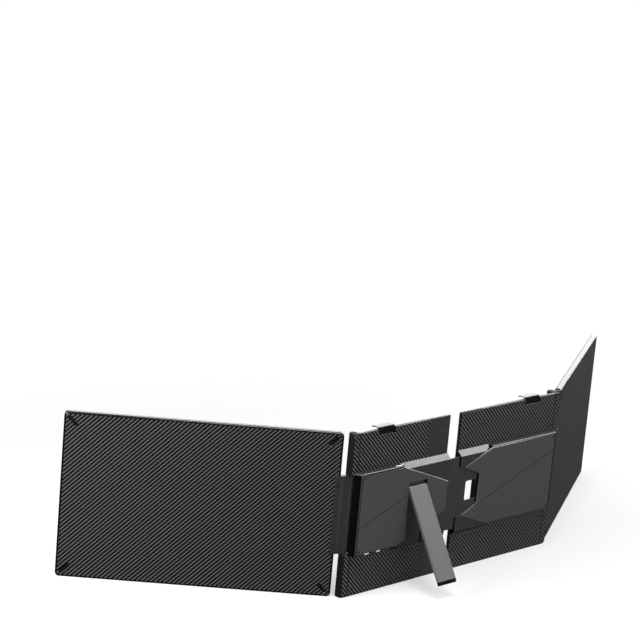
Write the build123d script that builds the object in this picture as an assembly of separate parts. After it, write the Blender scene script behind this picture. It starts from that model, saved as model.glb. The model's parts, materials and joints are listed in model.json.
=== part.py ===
from build123d import *
import os
from math import atan2, degrees, hypot

# A laptop screen extender: a centre frame in two telescoping halves, a side screen hinged to each
# half, and a kickstand on the back.  Millimetres, +Z up.  The screens' viewers stand at -Y and the
# hub is on the +Y side.  The origin is the middle of the fixed half's standing edge.  The pieces are
# drawn with the frame's back face at y = 0 and moved to the origin as they are saved.
# "along" is measured inwards from a half's outer end, on a side screen outwards from its hinge.

# ---------------------------------------------------------------- side screens
active_width = 309.4            # picture area of a 14 inch 16:9 panel
active_height = 174.0
bezel_side = 7.8
bezel_top = 8.5
bezel_chin = 19.5
wing_depth = 8.0
wing_corner_radius = 5.0
wing_edge_bevel = 1.4
shell_wall = 1.4
bezel_depth = 2.5
bezel_lip = 0.8
bezel_front_edge = 0.8
picture_lap = 2.6               # panel hidden behind the bezel's lip on each edge
panel_depth = 2.6
chassis_sheet = 0.8
chassis_gap = 1.6               # between the chassis and the tray's walls
chassis_columns = 4             # lightening windows
chassis_rows = 2
board_sheet = 1.2
chip_height = 0.9
driver_board_start = 24.0
driver_board_length = 94.0
driver_board_low = 88.0
driver_board_height = 26.0
driver_chips = ((16, 8, 12, 12), (42, 8, 9, 9), (72, 8, 16, 5))   # along, up, width, height
boss_inset = 20.0
boss_radius = 2.4
bar_inset = 11.0                # corner bars' centres, from both edges
bar_length = 13.0
bar_width = 2.4
bar_sink = 0.6
bar_proud = 0.5
bar_seat_gap = 0.1
fit_gap = 0.3                   # clearance beside a piece that drops into a pocket
wing_end_reach = 10.5           # hinge axis to the side screen's end face
rest_fold_fixed = 44.3          # degrees forward of flat
rest_fold_sliding = 30.6

# ---------------------------------------------------------------- centre frame
frame_height = 202.0
fixed_length = 166.5
sliding_length = 188.7
rest_gap = 19.2                 # between the halves as they stand
frame_depth = 4.0               # back face to the face the lid leans on
back_sheet = 1.5
fixed_sheet_length = 130.2      # textured back of the fixed half, the smooth slide cover follows
slide_cover_drop = 0.7
slide_line_margin = 29.0        # fine line cut into the slide cover
slide_line_low = 20.2
slide_line_high = 184.0
line_width = 0.6
line_depth = 0.3
frame_corner_radius = 5.0
knuckle_radius = 5.0
knuckle_low = 54.0              # moving knuckle, between the fixed ones
knuckle_drop = 52.0             # the moving knuckle's top, below the frame's top
knuckle_gap = 0.5
hinge_pin_radius = 2.0
hinge_pin_length = 26.0
hinge_pin_end_gap = 0.3
sleeve_radius = 3.4
sleeve_length = 12.0
sleeve_slit = 0.8
running_gap = 0.04
column_edge = 0.8
column_groove = 0.6
sheet_edge = 0.5                # bevel round the textured sheets
top_step_length = 37.5          # the sliding half's sheet is lower beside its inner edge
top_step = 1.0
seam_gap = 0.2
tray_rib = 1.6
tray_skin = 1.1
tray_columns = 4                # pockets between the ribs
tray_rows = 4
lid_pad = 0.8
lid_pad_inset = 18.0            # from the frame's top and bottom edges
lid_pad_height = 8.0
lid_pad_margin = 12.0           # short of the columns and of the inner edge
lid_space = 5.2                 # thickness of laptop lid that the side tabs take
tab_pad = 0.4
tab_sheet = 1.6
tab_height = 28.0
tab_inset = 12.7                # from the frame's top and bottom edges
tab_reach = 9.0                 # hinge axis to the tab's tip
tab_root = 2.5
tab_cut_width = 3.0
tab_cut_height = 4.5
tab_edge = 0.4
tab_pad_margin = 5.0
hinge_lip_width = 1.2           # upright lip of the tray beside the moving knuckle
hinge_lip_reach = 2.0
folded_gap = 0.7                # between a folded screen and what lies behind it
flat_back_y = -1.5              # back of both side screens when they stand flat
leaf_lap = 5.5
leaf_proud = 1.2
leaf_waist = 0.5                # the leaf's back is this much thinner between lap and knuckle
leaf_shoulder = 1.7             # drop of the leaf's back at the knuckle, clear of the hub's end
leaf_edge = 0.5
leaf_start = 1.0                # from the side screen's face
leaf_screw_inset = 12.0
leaf_screw_proud = 0.4

# ---------------------------------------------------------------- hub
hub_face_y = 8.0
base_face_y = 6.5
hub_below_knuckle = 2.5         # the square part's lower edge, under the moving knuckle's
hub_above_knuckle = 3.5
hub_end_foot = 5.5              # where its slanting outer end meets the frame, along the half
ramp_height = 6.0
ramp_overhang = 0.5             # the spine's top end, above the square part
cover_edge = 0.9
cover_gap = 0.3
rim_width = 1.8                 # the base's rim round the cover
rim_drop = 0.3                  # the rim, below the cover's face
rim_edge = 0.8
hub_corner_radius = 3.0
hub_wall = 1.4
hub_floor = 1.2
pocket_margin = 1.5             # between a board pocket and its base's outer wall
pocket_shelf = 3.1              # above and below the pocket
fixed_groove_outer = 86.0       # heights of the fine slanting lines' ends
fixed_groove_inner = 115.3
sliding_groove_outer = 130.5
sliding_groove_inner = 81.0
fixed_cover_corner = 83.2
fixed_tip_margin = 1.8          # the chevron's tip, short of the half's inner edge
fixed_tip_height = 37.4
sliding_cover_corner = 133.0
sliding_tip_margin = 7.7
sliding_tip_height = 62.0
notch_depth = 35.5              # into the sliding half from its inner edge
notch_mouth_height = 64.8
slide_sheet = 2.6
slide_floor = 1.6
slide_low_margin = 3.7          # the plate's edges, inside the cover's
slide_high_margin = 6.5
slide_arm_height = 33.5
slide_channel_start = 69.7      # along the sliding half, where the plate's arms end when it is shut
slide_seat = 6.0                # plate's start, past the fixed cover's corner
slide_corner_radius = 2.0
slide_end_room = 4.0
tongue_reach = 34.7             # end of the plate between its arms
glide_thickness = 0.8
glide_side_gap = 0.2
main_board_low_margin = 9.5     # boards' edges, inside the cover's
main_board_high_margin = 9.0
link_board_length = 36.0
link_board_low_margin = 22.5
link_board_high_margin = 23.5
main_chips = ((12, 35, 14, 14), (38, 39, 10, 10), (20, 63, 8, 8), (46, 19, 8, 8))
link_chips = ((8, 18, 10, 10), (22, 34, 10, 6))

# ---------------------------------------------------------------- kickstand
stand_width = 30.4
stand_start = 94.6              # along the fixed half
stand_thickness = 3.4
stand_pivot_z = 122.8
stand_length = 121.6            # pivot to foot
stand_pin_radius = 1.0
stand_rest_angle = 31.2
stand_side_gap = 0.4
stand_edge = 0.6
stand_toe = 3.0                 # bevel at the foot
stand_pin_seat = 3.8            # the pin's reach into each wall
shoe_margin = 3.0
shoe_low = 5.0
shoe_height = 8.0
shoe_proud = 0.4
shoe_sink = 0.6
recess_headroom = 7.4           # the recess's top end, above the pivot
bracket_sheet = 0.8
bracket_step = 1.2
rivet_radius = 1.3
rivet_height = 0.6

# ---------------------------------------------------------------- clips, ports, button
clip_centre = 54.8
clip_width = 28.0
clip_sheet = 1.2
clip_rise = 2.4
clip_reach = 11.7
clip_stem = 18.0
clip_window = 7.0
clip_pocket_depth = 0.7         # behind the tray's front
clip_step = 0.7                 # drop of the hook's lip
clip_lip = 2.4
clip_corner_radius = 1.6
clip_pad_thickness = 0.8
clip_pad_margin = 3.0
port_places = (32.4, 52.0)
port_width = 9.0
port_height = 3.2
port_depth = 7.4
port_sheet = 0.35
port_tongue_width = 6.6
port_corner = 0.9
port_proud = 0.8                # shells stand out of the hub's lower wall
lamp_place = 71.0
lamp_radius = 0.6
button_place = 76.0
button_width = 12.0
button_depth = 3.0
button_travel = 0.6
button_proud = 0.7
button_seat_depth = 4.0
button_side_gap = 0.4
screw_radius = 1.4
screw_inset = 5.6
screw_head = 0.9
screw_sink = 0.2
stud_sides = 10                 # facets of small screws, rivets and bosses

# ---------------------------------------------------------------- places worked out from the above
wing_width = active_width + 2 * bezel_side
wing_height = active_height + bezel_top + bezel_chin
knuckle_high = frame_height - knuckle_drop
cover_low = knuckle_low - hub_below_knuckle
cover_high = knuckle_high + hub_above_knuckle
base_low = cover_low - ramp_height
base_high = cover_high + ramp_overhang
slide_low = cover_low + slide_low_margin
slide_high = cover_high - slide_high_margin
main_board_low = cover_low + main_board_low_margin
main_board_high = cover_high - main_board_high_margin
link_board_low = cover_low + link_board_low_margin
link_board_high = cover_high - link_board_high_margin
recess_top = stand_pivot_z + recess_headroom
fixed_cover_tip = fixed_length - fixed_tip_margin
sliding_cover_tip = sliding_length - sliding_tip_margin
slide_arm_reach = sliding_length - slide_channel_start - slide_end_room
fixed_outer_x = fixed_length / 2
sliding_outer_x = -fixed_length / 2 - rest_gap - sliding_length
knuckle_width = 2 * knuckle_radius
hinge_room = knuckle_width + knuckle_gap
lid_face_y = -frame_depth - lid_pad
tab_back_y = lid_face_y - lid_space - tab_pad
first_folded_y = lid_face_y - folded_gap
second_folded_y = first_folded_y - wing_depth - leaf_proud - folded_gap
fixed_axis_y = (first_folded_y + flat_back_y - wing_depth) / 2
sliding_axis_y = (second_folded_y + flat_back_y - wing_depth) / 2
cover_middle = (cover_low + cover_high) / 2
stand_back_y = hub_face_y - stand_thickness
stand_axis_y = stand_back_y + stand_thickness / 2
slide_back_y = slide_floor + slide_sheet
clip_stem_y = -frame_depth + clip_pocket_depth
origin_depth = (frame_depth + back_sheet) / 2
hub_middle_y = (base_face_y + hub_floor) / 2
board_edge = hinge_room + hub_wall + pocket_margin
tab_tip = knuckle_radius + tab_reach


def block(x0, x1, y0, y1, z0, z1):
    """A box between two corners."""
    return Pos(x0, y0, z0) * Box(x1 - x0, y1 - y0, z1 - z0, align=(Align.MIN,) * 3)


def sheet_outline(width, height, radius):
    """A rounded rectangle in the XZ plane with its low corner at the origin."""
    face = Pos(width / 2, height / 2) * RectangleRounded(width, height, radius)
    return Plane.XZ * face


def upright(width, height, radius, y0, y1):
    """A rounded rectangular sheet standing in XZ, between two depths."""
    return Pos(0, y1, 0) * extrude(sheet_outline(width, height, radius), amount=y1 - y0)


def prism(points, y0, y1):
    """A polygon of (x, z) points pulled through in Y."""
    face = Plane.XZ * make_face(Polyline(*points, close=True))
    return Pos(0, y1, 0) * extrude(face, amount=y1 - y0)


def edges_at(shape, axis, value):
    """The edges that lie in one plane square to an axis."""
    return [e for e in shape.edges() if abs(getattr(e.center(), axis) - value) < 1e-4
            and abs(getattr(e.position_at(0), axis) - value) < 1e-4]


def upright_rod(radius, x, y, z0, z1):
    """A round bar along Z."""
    return Pos(x, y, z0) * Cylinder(radius, z1 - z0, align=(Align.CENTER, Align.CENTER, Align.MIN))


def stud(radius, x, z, y0, y1):
    """A many-sided bar along Y."""
    face = Plane.XZ * RegularPolygon(radius, stud_sides)
    return Pos(x, y1, z) * extrude(face, amount=y1 - y0)


def on_fixed_half(shape):
    """Put a piece drawn along a half onto the fixed half, whose outer end is at +X."""
    return Pos(fixed_outer_x, 0, 0) * mirror(shape, about=Plane.YZ)


def on_sliding_half(shape):
    """Put a piece drawn along a half onto the sliding half, whose outer end is at -X."""
    return Pos(sliding_outer_x, 0, 0) * shape


def on_fixed_wing(shape):
    """Put a piece drawn from the hinge axis onto the fixed half's screen, at rest."""
    axis_x = fixed_outer_x - knuckle_radius
    return Pos(axis_x, fixed_axis_y, 0) * Rot(0, 0, -rest_fold_fixed) * shape


def on_sliding_wing(shape):
    """Put a piece drawn from the hinge axis onto the sliding half's screen, at rest."""
    axis_x = sliding_outer_x + knuckle_radius
    return Pos(axis_x, sliding_axis_y, 0) * Rot(0, 0, rest_fold_sliding) * mirror(shape, about=Plane.YZ)


def save(shape, node):
    """Write one node."""
    export_step(Pos(0, origin_depth, 0) * shape, f"parts/{node}.step")


# ---------------------------------------------------------------- side screen pieces
def boss_places():
    """Where the screw bosses stand in a side screen."""
    return [(x, z) for x in (boss_inset, wing_width - boss_inset)
            for z in (boss_inset, wing_height - boss_inset)]


def panel_back(axis_to_back):
    """Depth of the display panel's back."""
    return axis_to_back - wing_depth + bezel_lip + panel_depth


def wing_back(axis_to_back):
    """The tray that forms a side screen's back and edges."""
    front = axis_to_back - wing_depth + bezel_depth
    outer = upright(wing_width, wing_height, wing_corner_radius, front, axis_to_back)
    outer = chamfer(edges_at(outer, "Y", axis_to_back), wing_edge_bevel)
    inner = upright(wing_width - 2 * shell_wall, wing_height - 2 * shell_wall,
                    wing_corner_radius - shell_wall, front, axis_to_back - shell_wall)
    tray = outer - Pos(shell_wall, 0, shell_wall) * inner
    for x, z in boss_places():
        tray += stud(boss_radius, x, z, panel_back(axis_to_back) + fit_gap, axis_to_back - shell_wall)
    for bar in corner_bar_seats(axis_to_back):
        tray -= bar
    return Pos(wing_end_reach, 0, 0) * tray


def corner_bars(axis_to_back, length, width, y0, y1):
    """Four short bars set diagonally across the corners of a side screen's back."""
    right = wing_width - bar_inset
    top = wing_height - bar_inset
    bars = []
    for x, z, lean in ((bar_inset, bar_inset, 45), (right, bar_inset, -45), (bar_inset, top, -45),
                       (right, top, 45)):
        bar = Box(length, y1 - y0, width)
        bars.append(Pos(x, (y0 + y1) / 2, z) * Rot(0, lean, 0) * bar)
    return bars


def corner_bar_seats(axis_to_back):
    """The shallow seats that the corner bars are glued into."""
    return corner_bars(axis_to_back, bar_length + 2 * bar_seat_gap, bar_width + 2 * bar_seat_gap,
                       axis_to_back - bar_sink, axis_to_back + bar_proud)


def wing_bars(axis_to_back):
    """The rubber corner bars."""
    bars = corner_bars(axis_to_back, bar_length, bar_width,
                       axis_to_back - bar_sink, axis_to_back + bar_proud)
    return Pos(wing_end_reach, 0, 0) * Compound(bars)


def wing_bezel(axis_to_back):
    """The front frame round the picture."""
    front = axis_to_back - wing_depth
    ring = upright(wing_width, wing_height, wing_corner_radius, front, front + bezel_depth)
    ring = chamfer(edges_at(ring, "Y", front), bezel_front_edge)
    window = block(bezel_side, bezel_side + active_width, front - 1, front + bezel_depth,
                   bezel_chin, bezel_chin + active_height)
    lap = picture_lap + fit_gap
    seat = block(bezel_side - lap, bezel_side + active_width + lap, front + bezel_lip,
                 front + bezel_depth, bezel_chin - lap, bezel_chin + active_height + lap)
    return Pos(wing_end_reach, 0, 0) * (ring - window - seat)


def wing_panel(axis_to_back):
    """The liquid crystal panel with its backlight."""
    front = axis_to_back - wing_depth + bezel_lip
    panel = block(bezel_side - picture_lap, bezel_side + active_width + picture_lap, front,
                  front + panel_depth, bezel_chin - picture_lap, bezel_chin + active_height + picture_lap)
    return Pos(wing_end_reach, 0, 0) * panel


def wing_chassis(axis_to_back):
    """The pressed sheet that holds the panel to the tray, with lightening windows."""
    low = panel_back(axis_to_back)
    edge = shell_wall + chassis_gap
    sheet = block(edge, wing_width - edge, low, low + chassis_sheet, edge, wing_height - edge)
    pitch_x = (wing_width - 2 * edge) / chassis_columns
    pitch_z = (wing_height - 2 * edge) / chassis_rows
    for i in range(chassis_columns):
        for j in range(chassis_rows):
            x = edge + pitch_x * (i + 0.5)
            z = edge + pitch_z * (j + 0.5)
            sheet -= block(x - pitch_x * 0.32, x + pitch_x * 0.32, low, low + chassis_sheet,
                           z - pitch_z * 0.3, z + pitch_z * 0.3)
    half = boss_radius + fit_gap
    for x, z in boss_places():
        sheet -= block(x - half, x + half, low, low + chassis_sheet, z - half, z + half)
    return Pos(wing_end_reach, 0, 0) * sheet


def add_chips(board, x0, z0, top, places):
    """Put chips on a board's back, each given by its corner, width and height."""
    for x, z, width, height in places:
        board += block(x0 + x, x0 + x + width, top, top + chip_height, z0 + z, z0 + z + height)
    return board


def wing_board(axis_to_back):
    """The driver board on the chassis, with its chips and panel connector."""
    low = panel_back(axis_to_back) + chassis_sheet
    board = block(driver_board_start, driver_board_start + driver_board_length, low, low + board_sheet,
                  driver_board_low, driver_board_low + driver_board_height)
    board = add_chips(board, driver_board_start, driver_board_low, low + board_sheet, driver_chips)
    return Pos(wing_end_reach, 0, 0) * board


def hinge_leaf(axis_to_back):
    """The moving knuckle and the leaf that wraps round the screen's inner end."""
    end = wing_end_reach
    low = axis_to_back - wing_depth + leaf_start
    lap_y = axis_to_back + leaf_proud
    waist_y = lap_y - leaf_waist
    web = Polyline((0, min(0, low)), (end, low), (end, axis_to_back), (end + leaf_lap, axis_to_back),
                   (end + leaf_lap, lap_y), (end - leaf_waist, lap_y), (end - 2 * leaf_waist, waist_y),
                   (knuckle_radius, waist_y - leaf_shoulder), (0, knuckle_radius), close=True)
    section = make_face(web) + Circle(knuckle_radius)
    leaf = Pos(0, 0, knuckle_low) * extrude(section, amount=knuckle_high - knuckle_low)
    outer_edges = edges_at(leaf, "X", end + leaf_lap)
    leaf = chamfer([e for e in outer_edges if abs(e.center().Y - lap_y) < 1e-3], leaf_edge)
    sleeve_room = upright_rod(sleeve_radius + running_gap, 0, 0, knuckle_high - sleeve_length, knuckle_high)
    sleeve_room += upright_rod(sleeve_radius + running_gap, 0, 0, knuckle_low, knuckle_low + sleeve_length)
    bore = upright_rod(hinge_pin_radius + running_gap, 0, 0, knuckle_low, knuckle_high)
    return leaf - sleeve_room - bore


def hinge_sleeves():
    """The two split friction sleeves inside the moving knuckle."""
    sleeves = []
    for z0 in (knuckle_low, knuckle_high - sleeve_length):
        ring = upright_rod(sleeve_radius, 0, 0, z0, z0 + sleeve_length)
        ring -= upright_rod(hinge_pin_radius + running_gap, 0, 0, z0, z0 + sleeve_length)
        ring -= block(0, sleeve_radius, -sleeve_slit / 2, sleeve_slit / 2, z0, z0 + sleeve_length)
        sleeves.append(ring)
    return Compound(sleeves)


def leaf_screws(axis_to_back):
    """Screws through the leaf's lap into the side screen."""
    heads = []
    x = wing_end_reach + leaf_lap / 2
    face = axis_to_back + leaf_proud
    for z in (knuckle_low + leaf_screw_inset, (knuckle_low + knuckle_high) / 2,
              knuckle_high - leaf_screw_inset):
        heads.append(stud(screw_radius, x, z, face, face + leaf_screw_proud))
    return Compound(heads)


# ---------------------------------------------------------------- centre frame pieces
def half_back(length, start, notched):
    """The textured sheet on a half's back."""
    sheet = block(start, length, -back_sheet, 0, 0, frame_height)
    sheet = chamfer(edges_at(sheet, "Y", 0), sheet_edge)
    sheet -= block(0, hinge_room, -back_sheet, 0, knuckle_low - knuckle_gap, knuckle_high + knuckle_gap)
    half = clip_width / 2 + fit_gap
    sheet -= block(clip_centre - half, clip_centre + half, -back_sheet, 0,
                   frame_height - clip_window, frame_height)
    if notched:
        sheet -= notch(length)
        sheet -= block(length - top_step_length, length, -back_sheet, 0, frame_height - top_step,
                       frame_height)
    return sheet


def notch(length):
    """The opening in the sliding half that the fixed cover's tip moves into, widest at its mouth."""
    inner = fixed_tip_height / 2
    mouth = notch_mouth_height / 2
    start = length - notch_depth
    outline = [(start, cover_middle - inner), (length, cover_middle - mouth), (length + 1, cover_middle - mouth),
               (length + 1, cover_middle + mouth), (length, cover_middle + mouth), (start, cover_middle + inner)]
    return prism(outline, -frame_depth - 1, hub_face_y + 1)


def column_caps():
    """The textured strips on the backs of the two fixed columns."""
    seam = knuckle_width - seam_gap
    outline = upright(2 * seam, frame_height, frame_corner_radius, -back_sheet, 0)
    outline = chamfer(edges_at(outline, "Y", 0), sheet_edge)
    outline -= block(seam, 2 * seam, -back_sheet, 0, 0, frame_height)
    outline -= block(0, seam, -back_sheet, 0, knuckle_low - knuckle_gap, knuckle_high + knuckle_gap)
    return outline


def half_tray(length, notched):
    """The ribbed front moulding of a half, which the lid leans on."""
    tray = block(knuckle_width, length, -frame_depth, -back_sheet, 0, frame_height)
    tray -= block(0, hinge_room, -frame_depth, 0, knuckle_low - knuckle_gap, knuckle_high + knuckle_gap)
    pitch_x = (length - hinge_room - tray_rib) / tray_columns
    pitch_z = (frame_height - tray_rib) / tray_rows
    for i in range(tray_columns):
        for j in range(tray_rows):
            x = hinge_room + tray_rib + pitch_x * i
            z = tray_rib + pitch_z * j
            tray -= block(x, x + pitch_x - tray_rib, tray_skin - frame_depth, -back_sheet, z,
                          z + pitch_z - tray_rib)
    half = clip_width / 2 + fit_gap
    slot_low = frame_height - clip_stem - 1.0
    tray += block(clip_centre - half - tray_rib, clip_centre + half + tray_rib, -frame_depth, -back_sheet,
                  slot_low - tray_rib, frame_height)
    tray -= block(clip_centre - half, clip_centre + half, clip_stem_y - fit_gap, -back_sheet,
                  slot_low, frame_height)
    if notched:
        half = notch_mouth_height / 2 + tray_rib
        tray += block(length - notch_depth - tray_rib, length, -frame_depth, -back_sheet,
                      cover_middle - half, cover_middle + half)
        tray -= notch(length)
    return tray + block(hinge_room, hinge_room + hinge_lip_width, -frame_depth - hinge_lip_reach,
                        -frame_depth, knuckle_low - knuckle_gap, knuckle_high + knuckle_gap)


def column(axis_y, z0, z1, pin_end_up):
    """One fixed hinge column: square at the back, round at the front, bored for its pin."""
    section = Circle(knuckle_radius) + Pos(0, -axis_y / 2 - back_sheet / 2) * Rectangle(
        knuckle_width, -axis_y - back_sheet)
    post = Pos(knuckle_radius, axis_y, z0) * extrude(section, amount=z1 - z0)
    end_z = z0 if pin_end_up else z1
    post = chamfer([e for e in edges_at(post, "Z", end_z) if e.center().Y < -back_sheet - 0.1], column_edge)
    groove_y = axis_y + knuckle_radius * 0.3
    post -= block(knuckle_width - column_groove, knuckle_width, groove_y, groove_y + column_groove, z0, z1)
    reach = hinge_pin_length / 2
    bore_low = z1 - reach if pin_end_up else z0
    post -= upright_rod(hinge_pin_radius + running_gap, knuckle_radius, axis_y, bore_low, bore_low + reach)
    for low in tab_levels():
        post -= prism(tab_outline(low), tab_back_y - tab_sheet, tab_back_y)
    return post


def tab_outline(z0):
    """A side tab's face: a plate whose tip corners are cut off."""
    root = knuckle_width - tab_root
    shoulder = tab_tip - tab_cut_width
    z1 = z0 + tab_height
    return [(root, z0), (shoulder, z0), (tab_tip, z0 + tab_cut_height), (tab_tip, z1 - tab_cut_height),
            (shoulder, z1), (root, z1)]


def tab_levels():
    """Low edges of the lower and upper side tab."""
    return (tab_inset, frame_height - tab_inset - tab_height)


def side_tabs():
    """The two tabs that reach over the lid's front from one column."""
    tabs = []
    for z0 in tab_levels():
        tab = prism(tab_outline(z0), tab_back_y - tab_sheet, tab_back_y)
        tabs.append(chamfer(edges_at(tab, "Y", tab_back_y - tab_sheet), tab_edge))
    return Compound(tabs)


def tab_pads():
    """The rubber facings on the tabs' lid side."""
    pads = []
    for z0 in tab_levels():
        pads.append(block(knuckle_width + tab_edge, tab_tip - tab_edge, tab_back_y, tab_back_y + tab_pad,
                          z0 + tab_pad_margin, z0 + tab_height - tab_pad_margin))
    return Compound(pads)


def lid_pads(length):
    """Two rubber strips on the tray's front, under the lid."""
    strips = []
    for z0 in (lid_pad_inset, frame_height - lid_pad_inset - lid_pad_height):
        strips.append(block(knuckle_width + lid_pad_margin, length - lid_pad_margin, lid_face_y,
                            -frame_depth, z0, z0 + lid_pad_height))
    return Compound(strips)


def hinge_pins(axis_y):
    """The upper and lower pin of one hinge."""
    half = hinge_pin_length / 2 - hinge_pin_end_gap
    pins = [upright_rod(hinge_pin_radius, knuckle_radius, axis_y, z - half, z + half)
            for z in (knuckle_low, knuckle_high)]
    return Compound(pins)


def slide_cover():
    """The smooth plate beside the fixed half's textured back."""
    plate = block(fixed_sheet_length + seam_gap, fixed_length, -back_sheet, -slide_cover_drop, 0,
                  frame_height)
    line_end = fixed_length - slide_line_margin
    line_floor = -slide_cover_drop - line_depth
    for z in (slide_line_low, slide_line_high):
        plate -= block(line_end, fixed_length, line_floor, 0, z - line_width, z)
    return plate - block(line_end, line_end + line_width, line_floor, 0, slide_line_low, slide_line_high)


# ---------------------------------------------------------------- hub pieces
def ramp_body(x0, x1):
    """The raised spine with sloping top and bottom, between two places along a half."""
    profile = Polyline((0, base_low), (base_face_y, base_low + ramp_height),
                       (base_face_y, base_high - ramp_height), (0, base_high), close=True)
    return Pos(x0, 0, 0) * extrude(Plane.YZ * make_face(profile), amount=x1 - x0)


def hub_box(corner):
    """The square part of a hub base, with a bevelled rim round the cover's seat and a slanting outer end."""
    face_y = hub_face_y - rim_drop
    plan = Polyline((hub_end_foot, 0), (hinge_room, face_y), (corner, face_y), (corner, 0), close=True)
    box = Pos(0, 0, cover_low) * extrude(make_face(plan), amount=cover_high - cover_low)
    end_middle = (hub_end_foot + hinge_room) / 2
    end_edges = [e for e in box.edges() if abs(e.center().X - end_middle) < 1e-3]
    box = fillet(end_edges, hub_corner_radius)
    box = chamfer([e for e in edges_at(box, "Y", face_y) if e.center().X < corner - 1e-3], rim_edge)
    inset = rim_width - cover_gap
    return box - block(hinge_room + inset, corner, base_face_y, hub_face_y, cover_low + inset,
                       cover_high - inset)


def board_pocket(x1):
    """Room for a board inside a hub base."""
    low = cover_low + hub_wall + pocket_shelf
    high = cover_high - hub_wall - pocket_shelf
    return block(board_edge, x1, hub_floor, base_face_y, low, high)


def port_rooms():
    """The slots that the ports sit in, through the hub's lower wall."""
    half_width = port_width / 2 + bar_seat_gap
    half_height = port_height / 2 + bar_seat_gap
    return Compound([block(x - half_width, x + half_width, hub_middle_y - half_height,
                           hub_middle_y + half_height, cover_low - 1, cover_low + port_depth)
                     for x in port_places])


def stand_room():
    """The recess that the folded stand lies in."""
    return block(stand_start - stand_side_gap, stand_start + stand_width + stand_side_gap, slide_back_y,
                 hub_face_y + 1, base_low - 1, recess_top)


def stand_pin_room(extra):
    """The bore for the stand's pin, into the walls on both sides of the recess."""
    pin = Cylinder(stand_pin_radius + extra, stand_width + 2 * stand_pin_seat + fit_gap)
    return Pos(stand_start + stand_width / 2, stand_axis_y, stand_pivot_z) * Rot(0, 90, 0) * pin


def fixed_base():
    """The fixed half's hub base: board tray, sloping spine, seat of the slide plate, stand recess."""
    base = hub_box(fixed_cover_corner) + ramp_body(fixed_cover_corner, fixed_length)
    base -= board_pocket(fixed_cover_corner - 2)
    base -= block(fixed_cover_corner + slide_seat, fixed_length, slide_floor, slide_back_y, slide_low,
                  slide_high)
    base -= upright_rod(lamp_radius, lamp_place, hub_middle_y, cover_low, cover_low + hub_wall)
    return base - stand_room() - stand_pin_room(running_gap) - port_rooms() - button_room()


def sliding_base():
    """The sliding half's hub base: link board tray and the channel that the slide plate runs in."""
    base = hub_box(sliding_cover_corner) + ramp_body(sliding_cover_corner, sliding_length)
    base -= board_pocket(slide_channel_start - 2 * hub_wall)
    low = slide_low - fit_gap - glide_thickness
    high = slide_high + fit_gap + glide_thickness
    base -= block(slide_channel_start, sliding_length, slide_floor - fit_gap, slide_back_y + fit_gap, low,
                  high)
    base -= notch(sliding_length)
    return base


def rail_glides():
    """Low-friction strips along both edges of the channel."""
    start = sliding_length - slide_arm_reach
    strips = []
    low = slide_floor - fit_gap + glide_side_gap
    high = slide_back_y + fit_gap - glide_side_gap
    for z0 in (slide_low - fit_gap - glide_thickness, slide_high + fit_gap):
        strips.append(block(start, sliding_length - slide_end_room, low, high, z0, z0 + glide_thickness))
    return Compound(strips)


def slide_plate():
    """The steel plate that joins the halves: a full sheet that ends in two long arms."""
    start = fixed_cover_corner + slide_seat
    plate = block(start, fixed_length + slide_arm_reach, slide_floor, slide_back_y, slide_low, slide_high)
    plate -= block(fixed_length + tongue_reach, fixed_length + slide_arm_reach + 1, slide_floor,
                   slide_back_y, slide_low + slide_arm_height, slide_high - slide_arm_height)
    corners = [e for e in plate.edges().filter_by(Axis.Y) if e.center().X > fixed_length + 1]
    return fillet(corners, slide_corner_radius)


def cover_outline(corner, tip, tip_height, notch_start):
    """A hub cover's face: square at its outer end, a chevron at its inner end."""
    low_tip = cover_middle - tip_height / 2
    high_tip = cover_middle + tip_height / 2
    outer = hinge_room + rim_width
    low = cover_low + rim_width
    high = cover_high - rim_width
    points = [(outer, low), (corner, low), (tip, low_tip)]
    if notch_start:
        half = fixed_tip_height / 2
        points += [(notch_start, cover_middle - half), (notch_start, cover_middle + half)]
    return points + [(tip, high_tip), (corner, high), (outer, high)]


def hub_cover(outline, base):
    """A hub cover: a chevron plate seated inside the base's rim and pulled down onto its slopes."""
    cover = prism(outline, 0, hub_face_y)
    outer_x = hinge_room + rim_width
    outer_uprights = [e for e in cover.edges().filter_by(Axis.Y) if e.center().X < outer_x + 1e-3]
    cover = fillet(outer_uprights, hub_corner_radius - rim_width)
    cover = chamfer(edges_at(cover, "Y", hub_face_y), cover_edge)
    return cover - base


def groove(x0, z0, x1, z1):
    """A fine slanting line cut into a cover's face."""
    length = hypot(x1 - x0, z1 - z0)
    bar = Box(length, 2 * line_depth, line_width)
    lean = degrees(atan2(z1 - z0, x1 - x0))
    return Pos((x0 + x1) / 2, hub_face_y, (z0 + z1) / 2) * Rot(0, -lean, 0) * bar


def screw_seats():
    """Places of the two cover screws at a hub's outer corners."""
    x = hinge_room + screw_inset
    return ((x, cover_low + screw_inset), (x, cover_high - screw_inset))


def screw_rooms():
    """The counterbores that the cover screws sit in."""
    return Compound([stud(screw_radius + bar_seat_gap, x, z, hub_face_y - screw_head, hub_face_y)
                     for x, z in screw_seats()])


def cover_screws():
    """Small countersunk screws, flush with the cover."""
    screws = []
    for x, z in screw_seats():
        screw = stud(screw_radius, x, z, hub_face_y - screw_head, hub_face_y - screw_sink)
        screw -= block(x - screw_radius, x + screw_radius, hub_face_y - 2 * screw_sink, hub_face_y,
                       z - screw_sink, z + screw_sink)
        screws.append(screw)
    return Compound(screws)


def fixed_cover():
    """The electronics side's cover, open for the stand."""
    solid_base = hub_box(fixed_cover_corner) + ramp_body(fixed_cover_corner, fixed_length)
    outline = cover_outline(fixed_cover_corner, fixed_cover_tip, fixed_tip_height, None)
    cover = hub_cover(outline, solid_base)
    cover -= stand_room() + stand_pin_room(running_gap)
    cover -= groove(hinge_room + rim_width, fixed_groove_outer, stand_start - stand_side_gap,
                    fixed_groove_inner)
    return cover - screw_rooms()


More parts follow.
